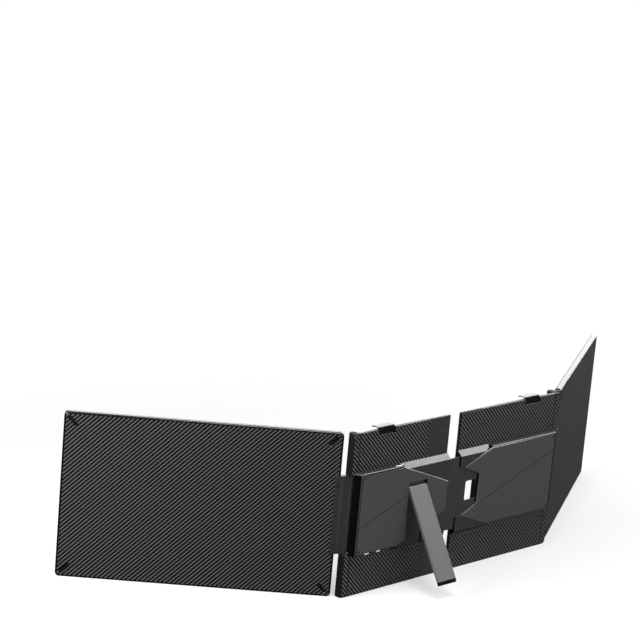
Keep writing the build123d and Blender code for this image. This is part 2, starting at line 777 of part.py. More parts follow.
def sliding_cover():
    """The sliding half's cover, notched for the tongue."""
    solid_base = hub_box(sliding_cover_corner) + ramp_body(sliding_cover_corner, sliding_length)
    outline = cover_outline(sliding_cover_corner, sliding_cover_tip, sliding_tip_height,
                            sliding_length - notch_depth)
    cover = hub_cover(outline, solid_base)
    cover -= groove(hinge_room + rim_width, sliding_groove_outer, sliding_length - notch_depth,
                    sliding_groove_inner)
    return cover - screw_rooms()


def main_board():
    """The video board in the fixed hub, with its chips."""
    edge = board_edge + pocket_margin
    top = hub_floor + board_sheet
    board = block(edge, fixed_cover_corner - 3, hub_floor, top, main_board_low, main_board_high)
    return add_chips(board, edge, main_board_low, top, main_chips)


def link_board():
    """The small board in the sliding hub that feeds its screen."""
    edge = board_edge + pocket_margin
    top = hub_floor + board_sheet
    board = block(edge, edge + link_board_length, hub_floor, top, link_board_low, link_board_high)
    return add_chips(board, edge, link_board_low, top, link_chips)


def ports():
    """Two USB-C shells that stand a little out of the hub's lower wall."""
    shells = []
    length = port_depth + port_proud
    half_tongue = port_tongue_width / 2
    outline = Rectangle(port_width, port_height)
    outline = chamfer(outline.vertices(), port_corner)
    hollow = Rectangle(port_width - 2 * port_sheet, port_height - 2 * port_sheet)
    hollow = chamfer(hollow.vertices(), port_corner - port_sheet / 2)
    shell = extrude(outline, amount=length) - extrude(hollow, amount=length - 3 * port_sheet)
    shell += block(-half_tongue, half_tongue, -port_sheet, port_sheet, 2 * port_sheet,
                   length - 2 * port_sheet)
    for x in port_places:
        shells.append(Pos(x, hub_middle_y, cover_low - port_proud) * shell)
    return Compound(shells)


def button_room():
    """The scooped seat of the menu button in the hub's upper wall."""
    half_width = button_width / 2 + button_side_gap
    half_depth = button_depth / 2 + button_side_gap
    return block(button_place - half_width, button_place + half_width, hub_middle_y - half_depth,
                 hub_middle_y + half_depth, cover_high - button_seat_depth, cover_high + 1)


def menu_button():
    """The menu button's cap."""
    half_width = button_width / 2
    half_depth = button_depth / 2
    low = cover_high - button_seat_depth + button_travel + button_side_gap
    top = cover_high + button_proud
    cap = block(button_place - half_width, button_place + half_width, hub_middle_y - half_depth,
                hub_middle_y + half_depth, low, top)
    return fillet(edges_at(cap, "Z", top), button_side_gap)


# ---------------------------------------------------------------- kickstand pieces
def stand():
    """The kickstand, drawn folded: a flat bar with a rolled head and a bevelled foot."""
    half = stand_thickness / 2
    x0, x1 = stand_start, stand_start + stand_width
    foot = stand_pivot_z - stand_length
    side = Polyline((stand_axis_y - half, stand_pivot_z), (stand_axis_y - half, foot + stand_toe),
                    (stand_axis_y + half - stand_edge, foot), (stand_axis_y + half, foot + stand_edge),
                    (stand_axis_y + half, stand_pivot_z), close=True)
    face = Plane.YZ * (make_face(side) + Pos(stand_axis_y, stand_pivot_z) * Circle(half))
    bar = Pos(x0, 0, 0) * extrude(face, amount=x1 - x0)
    long_edges = [e for e in bar.edges().filter_by(Axis.Z) if abs(e.center().Y - stand_axis_y - half) < 1e-3]
    bar = chamfer(long_edges, stand_edge)
    bar -= stand_pin_room(running_gap)
    return bar - stand_shoe()


def stand_shoe():
    """The rubber strip let into the stand's foot."""
    low = stand_pivot_z - stand_length + shoe_low
    return block(stand_start + shoe_margin, stand_start + stand_width - shoe_margin,
                 stand_back_y - shoe_proud, stand_back_y + shoe_sink, low, low + shoe_height)


def stand_pin():
    """The pin that the stand turns on."""
    pin = Cylinder(stand_pin_radius, stand_width + 2 * stand_pin_seat)
    return Pos(stand_start + stand_width / 2, stand_axis_y, stand_pivot_z) * Rot(0, 90, 0) * pin


def stand_bracket():
    """The pressed spring plate above the stand's head, held by two rivets."""
    x0 = stand_start + stand_edge
    x1 = stand_start + stand_width - stand_edge
    low = stand_pivot_z + stand_thickness / 2 + stand_side_gap
    face = slide_back_y + bracket_sheet
    plate = block(x0, x1, slide_back_y, face, low, recess_top)
    for x in (x0 + 4 * rivet_radius, x1 - 4 * rivet_radius):
        plate += stud(rivet_radius, x, (low + recess_top) / 2, face, face + rivet_height)
    return plate + block(x0 + 7 * rivet_radius, x1 - 7 * rivet_radius, face, face + bracket_step,
                         recess_top - bracket_sheet, recess_top)


# ---------------------------------------------------------------- top clips
def top_clip():
    """A bent metal hook: a stem in the frame's pocket, a flat over the lid and a stepped lip."""
    y0 = clip_stem_y
    y1 = y0 + clip_sheet
    top = frame_height + clip_rise
    under = top - clip_sheet
    front = y1 - clip_reach
    lip = front + clip_lip
    side = Polyline((y1, frame_height - clip_stem), (y1, top - clip_step), (y1 - clip_step, top),
                    (lip + clip_step, top), (lip, top - clip_step), (front, top - clip_step),
                    (front, under - clip_step), (lip + clip_step / 2, under - clip_step),
                    (lip + clip_step * 3 / 2, under), (y0, under), (y0, frame_height - clip_stem), close=True)
    clip = extrude(Plane.YZ * make_face(side), amount=clip_width)
    clip = Pos(clip_centre - clip_width / 2, 0, 0) * clip
    corners = [e for e in clip.edges().filter_by(Axis.Z) if abs(e.center().Y - front) < 1e-3]
    return fillet(corners, clip_corner_radius)


def clip_pad():
    """The rubber pad under a hook."""
    under = frame_height + clip_rise - clip_sheet
    front = clip_stem_y + clip_sheet - clip_reach + clip_lip + 3 * clip_step
    half = clip_width / 2 - clip_pad_margin
    return block(clip_centre - half, clip_centre + half, front, clip_stem_y - fit_gap,
                 under - clip_pad_thickness, under)


# ---------------------------------------------------------------- the whole object
def export_halves():
    """Write the nodes of the two frame halves."""
    halves = (("fixed", on_fixed_half, fixed_length, fixed_sheet_length, fixed_axis_y, False),
              ("sliding", on_sliding_half, sliding_length, sliding_length, sliding_axis_y, True))
    for name, put, length, sheet_length, axis_y, notched in halves:
        save(put(half_back(sheet_length, knuckle_width, notched)), f"{name}_back_sheet")
        save(put(column_caps()), f"{name}_column_caps")
        save(put(half_tray(length, notched)), f"{name}_front_tray")
        save(put(column(axis_y, knuckle_high + knuckle_gap, frame_height, False)), f"{name}_column_upper")
        save(put(column(axis_y, 0, knuckle_low - knuckle_gap, True)), f"{name}_column_lower")
        save(put(side_tabs()), f"{name}_side_tabs")
        save(put(tab_pads()), f"{name}_tab_pads")
        save(put(lid_pads(length)), f"{name}_lid_pads")
        save(put(hinge_pins(axis_y)), f"{name}_hinge_pins")
        save(put(cover_screws()), f"{name}_cover_screws")
        save(put(top_clip()), f"{name}_top_clip")
        save(put(clip_pad()), f"{name}_clip_pad")


def export_hub():
    """Write the nodes of the hub, the slide and the kickstand."""
    save(on_fixed_half(slide_cover()), "slide_cover")
    save(on_fixed_half(fixed_base()), "fixed_hub_base")
    save(on_fixed_half(fixed_cover()), "fixed_hub_cover")
    save(on_fixed_half(slide_plate()), "slide_plate")
    save(on_fixed_half(main_board()), "main_board")
    save(on_fixed_half(ports()), "usb_ports")
    save(on_fixed_half(menu_button()), "menu_button")
    save(on_sliding_half(sliding_base()), "sliding_hub_base")
    save(on_sliding_half(sliding_cover()), "sliding_hub_cover")
    save(on_sliding_half(rail_glides()), "rail_glides")
    save(on_sliding_half(link_board()), "link_board")
    save(on_fixed_half(stand_pin()), "stand_pin")
    save(on_fixed_half(stand_bracket()), "stand_bracket")
    pivot = Axis((0, stand_axis_y, stand_pivot_z), (1, 0, 0))
    save(on_fixed_half(stand()).rotate(pivot, stand_rest_angle), "kickstand")
    save(on_fixed_half(stand_shoe()).rotate(pivot, stand_rest_angle), "kickstand_shoe")


def export_wings():
    """Write the nodes of the two side screens."""
    wings = (("fixed", on_fixed_wing, flat_back_y - fixed_axis_y),
             ("sliding", on_sliding_wing, flat_back_y - sliding_axis_y))
    for name, put, axis_to_back in wings:
        save(put(wing_back(axis_to_back)), f"{name}_screen_back")
        save(put(wing_bezel(axis_to_back)), f"{name}_screen_bezel")
        save(put(wing_panel(axis_to_back)), f"{name}_screen_panel")
        save(put(wing_chassis(axis_to_back)), f"{name}_screen_chassis")
        save(put(wing_board(axis_to_back)), f"{name}_screen_board")
        save(put(wing_bars(axis_to_back)), f"{name}_screen_corner_bars")
        save(put(hinge_leaf(axis_to_back)), f"{name}_hinge_leaf")
        save(put(hinge_sleeves()), f"{name}_hinge_sleeves")
        save(put(leaf_screws(axis_to_back)), f"{name}_leaf_screws")


os.makedirs("parts", exist_ok=True)
export_halves()
export_hub()
export_wings()
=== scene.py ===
"""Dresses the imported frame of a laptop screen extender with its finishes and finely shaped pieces.

Everything is in metres in the frame's axes: +Z is up, the hub is on the +Y side and the screens'
viewers sit at -Y.  Each sub-assembly is a class that builds its meshes and dresses them.  A piece is
modelled where it belongs, so its object stays at the origin.
"""

from __future__ import annotations

import json
import logging
import math
from dataclasses import dataclass
from enum import Enum
from typing import Callable, Iterable, Mapping, Sequence

import bmesh
import bpy
from mathutils import Matrix, Vector

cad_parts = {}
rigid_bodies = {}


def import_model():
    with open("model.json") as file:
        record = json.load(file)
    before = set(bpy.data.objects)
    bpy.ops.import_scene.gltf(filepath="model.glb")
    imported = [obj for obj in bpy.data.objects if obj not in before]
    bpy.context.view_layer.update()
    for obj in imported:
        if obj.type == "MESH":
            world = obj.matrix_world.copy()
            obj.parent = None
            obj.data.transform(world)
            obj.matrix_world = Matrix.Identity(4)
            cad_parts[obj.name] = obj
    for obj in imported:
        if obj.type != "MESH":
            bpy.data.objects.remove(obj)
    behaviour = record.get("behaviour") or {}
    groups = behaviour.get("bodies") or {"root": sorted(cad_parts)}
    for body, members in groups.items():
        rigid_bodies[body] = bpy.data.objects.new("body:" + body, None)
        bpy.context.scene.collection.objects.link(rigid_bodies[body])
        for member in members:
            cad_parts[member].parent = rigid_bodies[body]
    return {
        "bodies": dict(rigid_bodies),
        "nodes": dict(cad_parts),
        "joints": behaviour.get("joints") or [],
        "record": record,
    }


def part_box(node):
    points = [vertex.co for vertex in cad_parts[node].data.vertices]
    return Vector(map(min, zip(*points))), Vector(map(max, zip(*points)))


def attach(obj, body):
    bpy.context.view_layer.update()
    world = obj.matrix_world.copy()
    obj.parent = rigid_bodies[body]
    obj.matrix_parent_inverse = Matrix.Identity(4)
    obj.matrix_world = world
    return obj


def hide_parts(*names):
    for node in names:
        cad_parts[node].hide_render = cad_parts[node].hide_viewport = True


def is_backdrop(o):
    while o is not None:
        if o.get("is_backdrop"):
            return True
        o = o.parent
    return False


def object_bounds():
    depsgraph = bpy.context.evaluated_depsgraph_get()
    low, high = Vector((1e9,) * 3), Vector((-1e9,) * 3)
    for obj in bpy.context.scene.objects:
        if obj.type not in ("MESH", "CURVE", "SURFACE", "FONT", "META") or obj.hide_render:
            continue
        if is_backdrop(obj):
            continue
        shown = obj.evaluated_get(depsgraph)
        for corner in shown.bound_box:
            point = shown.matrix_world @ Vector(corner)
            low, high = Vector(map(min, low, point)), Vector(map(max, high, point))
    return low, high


MM = 0.001
NEAR = 0.02 * MM                # two places closer than this are the same place
CLEAR = 1 * MM                  # how far a cutter reaches past what it cuts
SQUARE = 0.99                   # a face looks along an axis if its normal has this much of it
EDGE_STEPS = 2                  # steps of a softened edge
SHARP = math.radians(35)        # edges that turn by more are softened
SMOOTH = math.radians(32)       # faces that meet at less are shaded as one
FLAT = math.radians(0.5)        # faces that meet at less are one flat face
WHITE = "#ffffff"
LOG = logging.getLogger("screen_extender")

Piece = bpy.types.Object
Tree = bpy.types.NodeTree
Socket = bpy.types.NodeSocket
Point = Sequence[float]
FaceTest = Callable[[Vector, Vector], bool]     # of a face's centre and normal
EdgeTest = Callable[[Vector, Vector], bool]     # of an edge's two ends
FaceChoice = Callable[[Vector, Vector], int]    # a number, from a face's centre and normal


class Side(Enum):
    """The two halves of the object, named as their CAD nodes are."""

    FIXED = "fixed"
    SLIDING = "sliding"

    @property
    def outward(self) -> float:
        """Which way along X this half's outer end lies."""
        return 1.0 if self is Side.FIXED else -1.0

    def node(self, name: str) -> str:
        """The CAD node of this side's copy of a piece."""
        return f"{self.value}_{name}"


class Slot(Enum):
    """The record's material slots."""

    SHELL = "textured_shell"
    MOULDING = "dark_moulding"
    COVER = "cover_moulding"
    COATED = "coated_metal"
    BAR = "coated_aluminium"
    BRIGHT = "bright_metal"
    STEEL = "plain_steel"
    PRESSED = "pressed_aluminium"
    RUBBER = "rubber"
    GLIDE = "glide_plastic"
    BOARD = "circuit_board"
    DISPLAY = "display_glass"


# ---------------------------------------------------------------- colours and nodes
def linear(hex_colour: str, gain: float = 1.0) -> tuple[float, float, float, float]:
    """Turn an sRGB hex colour into linear RGBA.

    Args:
        hex_colour: Six hex digits, with or without a leading hash.
        gain: How many times lighter the result is made.

    Returns:
        Red, green, blue and an alpha of 1, as the shaders take them.
    """
    digits = hex_colour.lstrip("#")
    channels = []
    for start in (0, 2, 4):
        value = int(digits[start:start + 2], 16) / 255
        light = value / 12.92 if value <= 0.04045 else ((value + 0.055) / 1.055) ** 2.4
        channels.append(light * gain)
    return (channels[0], channels[1], channels[2], 1.0)


def add_node(tree: Tree, kind: str, inputs: Mapping | None = None, **settings: object) -> bpy.types.Node:
    """Add a shader node with its settings, values and links.

    Args:
        tree: The node tree it goes into.
        kind: The node's type name.
        inputs: For each input, by name or number, a value to set or a socket to link.
        settings: Attributes of the node itself.

    Returns:
        The new node.
    """
    node = tree.nodes.new(kind)
    for name, value in settings.items():
        setattr(node, name, value)
    for key, value in (inputs or {}).items():
        if isinstance(value, Socket):
            tree.links.new(value, node.inputs[key])
        else:
            node.inputs[key].default_value = value
    return node


# ---------------------------------------------------------------- finishes
@dataclass(frozen=True)
class Finish:
    """A plain finish, and what every other one adds its detail to.

    The grain is the surface's smallest relief: spark-eroded tool marks on a moulding, the orange
    peel of a coat, the pores of rubber.  It also varies the colour a little, and handling the gloss.
    """

    name: str
    colour: str
    roughness: float
    metallic: float = 0.0
    ior: float = 1.5
    coat: float = 0.0
    coat_roughness: float = 0.2
    grain: float = 0.35 * MM
    relief: float = 0.008 * MM
    blotch: float = 6.0             # size of a lighter or darker spot, in grains
    shade: float = 0.12             # how much lighter or darker it is
    handled: float = 28 * MM        # size of a glossier or duller patch
    uneven: float = 0.1             # how much glossier or duller it is

    def material(self) -> bpy.types.Material:
        """Build the finish as a material.

        Returns:
            The new material.
        """
        material = bpy.data.materials.new(self.name)
        material.use_nodes = True
        tree = material.node_tree
        tree.nodes.clear()
        place = add_node(tree, "ShaderNodeTexCoord").outputs["Object"]
        shader = add_node(tree, "ShaderNodeBsdfPrincipled", {
            "Base Color": self.pattern(tree, place), "Metallic": self.metallic,
            "Roughness": self.gloss(tree, place), "Coat Weight": self.coat,
            "Coat Roughness": self.coat_roughness, "Normal": self.surface(tree, place)})
        if not self.metallic:
            shader.inputs["IOR"].default_value = self.ior
        add_node(tree, "ShaderNodeOutputMaterial", {"Surface": shader.outputs[0]})
        return material

    def pattern(self, tree: Tree, place: Socket) -> Socket:
        """Vary the finish's colour a little, lighter and darker in small spots.

        Args:
            tree: The material's node tree.
            place: The socket of the place on the surface.

        Returns:
            The colour socket.
        """
        spots = add_node(tree, "ShaderNodeTexNoise", {
            "Vector": place, "Scale": 1 / (self.grain * self.blotch)})
        dark, light = linear(self.colour, 1 - self.shade), linear(self.colour, 1 + self.shade)
        return add_node(tree, "ShaderNodeMix", {0: spots.outputs[0], 6: dark, 7: light},
                        data_type="RGBA").outputs[2]

    def gloss(self, tree: Tree, place: Socket) -> Socket:
        """The roughness socket: handling makes a surface a little uneven over some centimetres."""
        patches = add_node(tree, "ShaderNodeTexNoise", {
            "Vector": place, "Scale": 1 / self.handled, "Detail": 3.0})
        return add_node(tree, "ShaderNodeMapRange", {
            "Value": patches.outputs[0], "To Min": self.roughness * (1 - self.uneven),
            "To Max": self.roughness * (1 + self.uneven)}).outputs[0]

    def surface(self, tree: Tree, place: Socket) -> Socket:
        """The normal socket: the grain as a shallow relief."""
        grain = add_node(tree, "ShaderNodeTexNoise", {"Vector": place, "Scale": 1 / self.grain})
        return add_node(tree, "ShaderNodeBump", {
            "Height": grain.outputs[0], "Distance": self.relief}).outputs[0]


@dataclass(frozen=True)
class BrushedMetal(Finish):
    """Sheet metal with the fine straight lines that rolling or brushing leaves along X."""

    line: float = 0.12 * MM
    line_length: float = 14 * MM

    def streaks(self, tree: Tree, place: Socket) -> Socket:
        """The value socket of fine lines along X."""
        drawn = add_node(tree, "ShaderNodeMapping", {
            "Vector": place, "Scale": (1 / self.line_length, 1 / self.line, 1 / self.line)})
        return add_node(tree, "ShaderNodeTexNoise", {"Vector": drawn.outputs[0], "Scale": 1.0}).outputs[0]

    def pattern(self, tree: Tree, place: Socket) -> Socket:
        """The colour socket: each brushed line a little darker or not."""
        return add_node(tree, "ShaderNodeMix", {
            0: self.streaks(tree, place), 6: linear(self.colour, 1 - self.shade), 7: linear(self.colour)},
            data_type="RGBA").outputs[2]

    def surface(self, tree: Tree, place: Socket) -> Socket:
        """The normal socket: the brushed lines as scratches."""
        return add_node(tree, "ShaderNodeBump", {
            "Height": self.streaks(tree, place), "Distance": self.relief}).outputs[0]


@dataclass(frozen=True)
class TwillPrint(Finish):
    """A two-by-two twill weave printed and lacquered on a moulded shell.

    It gives the eye grey and black stripes at 45 degrees, each made of short stepped floats.  The
    sheet lies in its own X and Z, turned about the upright axis through a point.  Lengths on the
    weave are counted in bundles.
    """

    dark: str = "#070708"
    tow: float = 1.333 * MM         # width of one woven bundle
    repeat: float = 4.0             # after so many bundles the twill starts again
    ply: float = 0.25               # the floats' steps
    float_length: float = 1.75      # of the light floats
    fibre_length: float = 2.0
    fibre_width: float = 1 / 9
    fibre_shade: float = 0.24       # how much darker the darkest fibre is
    edge_shade: float = 0.5         # how much darker a bundle is towards its edges
    swell: float = 0.6              # how much of the relief the lacquer lets through
    lean: float = 1.0               # 1 for stripes that rise outwards, -1 for falling ones
    axis_x: float = 0.0
    axis_y: float = 0.0
    turn: float = 0.0

    def cells(self, tree: Tree, place: Socket) -> tuple[Socket, Socket, Socket, Socket]:
        """Divide the sheet into bundles.

        Args:
            tree: The material's node tree.
            place: The socket of the place on the surface.

        Returns:
            The sockets of the warp mask, of the distance from the upper bundle's middle line and of
            the two coordinates, all counted in bundles.
        """
        sheet = add_node(tree, "ShaderNodeMapping", {
            "Vector": place, "Location": (self.axis_x, self.axis_y, 0.0), "Rotation": (0.0, 0.0, self.turn),
            "Scale": (self.tow, self.tow, self.tow)}, vector_type="TEXTURE")
        parts = add_node(tree, "ShaderNodeSeparateXYZ", {0: sheet.outputs[0]})
        across, up = parts.outputs[0], parts.outputs[2]
        column, row = [add_node(tree, "ShaderNodeMath", {0: way, 1: self.ply}, operation="SNAP").outputs[0]
                       for way in (across, up)]
        count = add_node(tree, "ShaderNodeMath", {0: row, 1: -self.lean, 2: column}, operation="MULTIPLY_ADD")
        step = add_node(tree, "ShaderNodeMath", {0: count.outputs[0], 1: self.repeat},
                        operation="FLOORED_MODULO")
        warp = add_node(tree, "ShaderNodeMath", {0: step.outputs[0], 1: self.float_length},
                        operation="LESS_THAN").outputs[0]
        upward, outward = [add_node(tree, "ShaderNodeMath", {0: way}, operation="FRACT").outputs[0]
                           for way in (up, across)]
        over = add_node(tree, "ShaderNodeMix", {0: warp, 2: upward, 3: outward})
        off_middle = add_node(tree, "ShaderNodeMath", {0: over.outputs[0], 1: 0.5}, operation="SUBTRACT")
        edge = add_node(tree, "ShaderNodeMath", {0: off_middle.outputs[0]}, operation="ABSOLUTE").outputs[0]
        return warp, edge, across, up

    def pattern(self, tree: Tree, place: Socket) -> Socket:
        """Colour the warp floats grey and the weft floats near black, with fine fibre lines.

        Args:
            tree: The material's node tree.
            place: The socket of the place on the surface.

        Returns:
            The colour socket.
        """
        warp, edge, across, up = self.cells(tree, place)
        fibres = []
        for long, wide in ((across, up), (up, across)):
            line = add_node(tree, "ShaderNodeCombineXYZ", {0: long, 1: wide})
            drawn = add_node(tree, "ShaderNodeMapping", {
                "Vector": line.outputs[0], "Scale": (1 / self.fibre_length, 1 / self.fibre_width, 1.0)})
            fibres.append(add_node(tree, "ShaderNodeTexNoise", {
                "Vector": drawn.outputs[0], "Scale": 1.0}).outputs[0])
        fibre = add_node(tree, "ShaderNodeMix", {0: warp, 2: fibres[0], 3: fibres[1]})
        tone = add_node(tree, "ShaderNodeMix", {
            0: warp, 6: linear(self.dark), 7: linear(self.colour)}, data_type="RGBA")
        shadow = add_node(tree, "ShaderNodeMath", {0: edge, 1: self.edge_shade}, operation="MULTIPLY")
        thread = add_node(tree, "ShaderNodeMath", {
            0: fibre.outputs[0], 1: self.fibre_shade, 2: shadow.outputs[0]}, operation="MULTIPLY_ADD")
        return add_node(tree, "ShaderNodeMix", {
            0: thread.outputs[0], 6: tone.outputs[2], 7: linear(self.dark)}, data_type="RGBA").outputs[2]

    def surface(self, tree: Tree, place: Socket) -> Socket:
        """The normal socket: the bundles stand up a little under the lacquer."""
        return add_node(tree, "ShaderNodeBump", {
            "Height": self.cells(tree, place)[1], "Distance": self.relief, "Strength": self.swell},
            invert=True).outputs[0]


@dataclass(frozen=True)
class SolderedBoard(Finish):
    """Glass-fibre laminate under solder mask: green with slightly lighter copper tracks."""

    second_colour: str = "#154d33"
    track_colour: str = "#2f8a5c"
    track: float = 1.6 * MM         # between two tracks
    track_length: float = 3.0       # counted in the spaces between tracks
    track_width: float = 0.06

    def pattern(self, tree: Tree, place: Socket) -> Socket:
        """The colour socket: tracks as thin straight lines on the mask."""
        turned = add_node(tree, "ShaderNodeMapping", {
            "Vector": place, "Rotation": (math.radians(90), 0.0, 0.0), "Scale": (1 / self.track,) * 3})
        return add_node(tree, "ShaderNodeTexBrick", {
            "Vector": turned.outputs[0], "Color1": linear(self.colour), "Color2": linear(self.second_colour),
            "Mortar": linear(self.track_colour), "Scale": 1.0, "Mortar Size": self.track_width,
            "Brick Width": self.track_length, "Row Height": 1.0}).outputs[0]


# ---------------------------------------------------------------- shaping steps
def deselect() -> None:
    """Leave nothing selected."""
    bpy.ops.object.select_all(action="DESELECT")


def pick(piece: Piece) -> None:
    """Select one piece alone and make it the active one.

    Args:
        piece: The piece.
    """
    deselect()
    piece.select_set(True)
    bpy.context.view_layer.objects.active = piece


def fix_place(piece: Piece) -> None:
    """Move a piece's place, turn and scale into its mesh."""
    pick(piece)
    bpy.ops.object.transform_apply(location=True, rotation=True, scale=True)


def add_block(name: str, low: Point, high: Point) -> Piece:
    """Add a box between two corners, to be shaped further.

    Args:
        name: The piece's name.
        low: Its lowest corner.
        high: Its highest corner.

    Returns:
        The new object, with its place in its mesh.
    """
    deselect()
    low, high = Vector(low), Vector(high)
    bpy.ops.mesh.primitive_cube_add(size=1.0, location=(low + high) / 2)
    piece = bpy.context.object
    piece.name = name
    piece.scale = high - low
    fix_place(piece)
    return piece


def add_rod(name: str, radius: float, start: Point, end: Point, sides: int = 24) -> Piece:
    """Add a round bar between two points, to be shaped further.

    Args:
        name: The piece's name.
        radius: Its radius.
        start: The middle of one end.
        end: The middle of the other end.
        sides: How many flats make its round.

    Returns:
        The new object, with its place in its mesh.
    """
    deselect()
    start, end = Vector(start), Vector(end)
    axis = end - start
    bpy.ops.mesh.primitive_cylinder_add(
        vertices=sides, radius=radius, depth=axis.length, location=(start + end) / 2,
        rotation=axis.to_track_quat("Z", "Y").to_euler())
    piece = bpy.context.object
    piece.name = name
    fix_place(piece)
    return piece


def open_edit(piece: Piece, kind: str) -> bmesh.types.BMesh:
    """Open a piece for editing with nothing selected.

    Args:
        piece: The piece to shape.
        kind: FACE or EDGE, for what is to be selected next.

    Returns:
        The mesh that is open.
    """
    pick(piece)
    bpy.ops.object.mode_set(mode="EDIT")
    bpy.ops.mesh.select_mode(type=kind)
    bpy.ops.mesh.select_all(action="DESELECT")
    return bmesh.from_edit_mesh(piece.data)


def select_faces(piece: Piece, test: FaceTest) -> None:
    """Open a piece for editing with some of its faces selected.

    Args:
        piece: The piece to shape.
        test: Tells from its centre and normal whether a face is meant.
    """
    mesh = open_edit(piece, "FACE")
    for face in mesh.faces:
        face.select_set(test(face.calc_center_median(), face.normal))
    bmesh.update_edit_mesh(piece.data)


def select_edges(piece: Piece, test: EdgeTest) -> None:
    """Open a piece for editing with some of its edges selected.

    Args:
        piece: The piece to shape.
        test: Tells from its two ends whether an edge is meant.
    """
    mesh = open_edit(piece, "EDGE")
    for edge in mesh.edges:
        edge.select_set(test(edge.verts[0].co, edge.verts[1].co))
    bmesh.update_edit_mesh(piece.data)


def close_edit() -> None:
    """Go back to object mode."""
    bpy.ops.object.mode_set(mode="OBJECT")


def bevel(piece: Piece, test: EdgeTest, width: float, segments: int = 2) -> None:
    """Round or chamfer the edges that pass a test.

    Args:
        piece: The piece to shape.
        test: Tells from its two ends whether an edge is meant.
        width: How far the new faces reach from the edge.
        segments: One for a chamfer, more for a round.
    """
    select_edges(piece, test)
    bpy.ops.mesh.bevel(offset=width, segments=segments, affect="EDGES")
    close_edit()


def inset(piece: Piece, test: FaceTest, width: float) -> None:
    """Inset the faces that pass a test.

    Args:
        piece: The piece to shape.
        test: Tells from its centre and normal whether a face is meant.
        width: How wide the ring round them is.
    """
    select_faces(piece, test)
    bpy.ops.mesh.inset(thickness=width, depth=0.0)
    close_edit()


def extrude(piece: Piece, test: FaceTest, move: Point) -> None:
    """Extrude the faces that pass a test.

    Args:
        piece: The piece to shape.
        test: Tells from its centre and normal whether a face is meant.
        move: How far they go, along each axis.
    """
    select_faces(piece, test)
    bpy.ops.mesh.extrude_region_move(TRANSFORM_OT_translate={"value": tuple(move)})
    close_edit()


def along(axis: int) -> EdgeTest:
    """A test for edges that run along one axis."""
    others = [i for i in range(3) if i != axis]
    return lambda a, b: all(abs(a[i] - b[i]) < NEAR for i in others)


def level(axis: int, value: float) -> EdgeTest:
    """A test for edges that lie in one plane square to an axis."""
    return lambda a, b: abs(a[axis] - value) < NEAR and abs(b[axis] - value) < NEAR


def facing(axis: int, sign: float) -> FaceTest:
    """A test for faces that look one way along an axis."""
    return lambda centre, normal: normal[axis] * sign > SQUARE


def every(*tests: FaceTest | EdgeTest) -> FaceTest | EdgeTest:
    """A test that is passed where all of several tests are."""
    return lambda one, other: all(test(one, other) for test in tests)


def cut(piece: Piece, *cutters: Piece) -> None:
    """Take solids out of a piece.

    Args:
        piece: The piece to shape.
        cutters: The solids, which are used up.
    """
    for cutter in cutters:
        pick(piece)
        step = piece.modifiers.new("shape", "BOOLEAN")
        step.operation = "DIFFERENCE"
        step.object = cutter
        step.solver = "EXACT"
        bpy.ops.object.modifier_apply(modifier=step.name)
        mesh = cutter.data
        bpy.data.objects.remove(cutter)
        bpy.data.meshes.remove(mesh)


def soften(piece: Piece, width: float) -> None:
    """Round every sharp edge a little, as tooling and coating leave it.

    Args:
        piece: The piece to shape.
        width: How far the rounding reaches from each edge.
    """
    pick(piece)
    step = piece.modifiers.new("edges", "BEVEL")
    step.width = width
    step.segments = EDGE_STEPS
    step.limit_method = "ANGLE"
    step.angle_limit = SHARP
    step.use_clamp_overlap = True
    bpy.ops.object.modifier_apply(modifier=step.name)


def turn(piece: Piece, angle: float, axis: str, centre: Vector) -> None:
    """Turn a piece about a point, counter-clockwise as seen against the axis.

    Args:
        piece: The piece to turn.
        angle: In degrees.
        axis: X, Y or Z.
        centre: The point that stays.
    """
    spin = Matrix.Rotation(math.radians(angle), 4, axis)
    piece.matrix_world = Matrix.Translation(centre) @ spin @ Matrix.Translation(-centre)
    fix_place(piece)


def place(piece: Piece, axes: Matrix) -> None:
    """Carry a piece from a sub-assembly's own axes into the frame's.

    Args:
        piece: The piece.
        axes: The matrix from those axes to the frame's, which may mirror.
    """
    piece.matrix_world = axes
    fix_place(piece)
    if axes.determinant() < 0:
        select_faces(piece, lambda centre, normal: True)
        bpy.ops.mesh.normals_make_consistent(inside=False)
        close_edit()


def join(name: str, pieces: Iterable[Piece]) -> Piece:
    """Make several objects one piece.

    Args:
        name: The piece's name.
        pieces: The objects, which are used up.

    Returns:
        The joined object.
    """
    first, *others = pieces
    pick(first)
    for piece in others:
        piece.select_set(True)
    bpy.ops.object.join()
    first.name = name
    return first


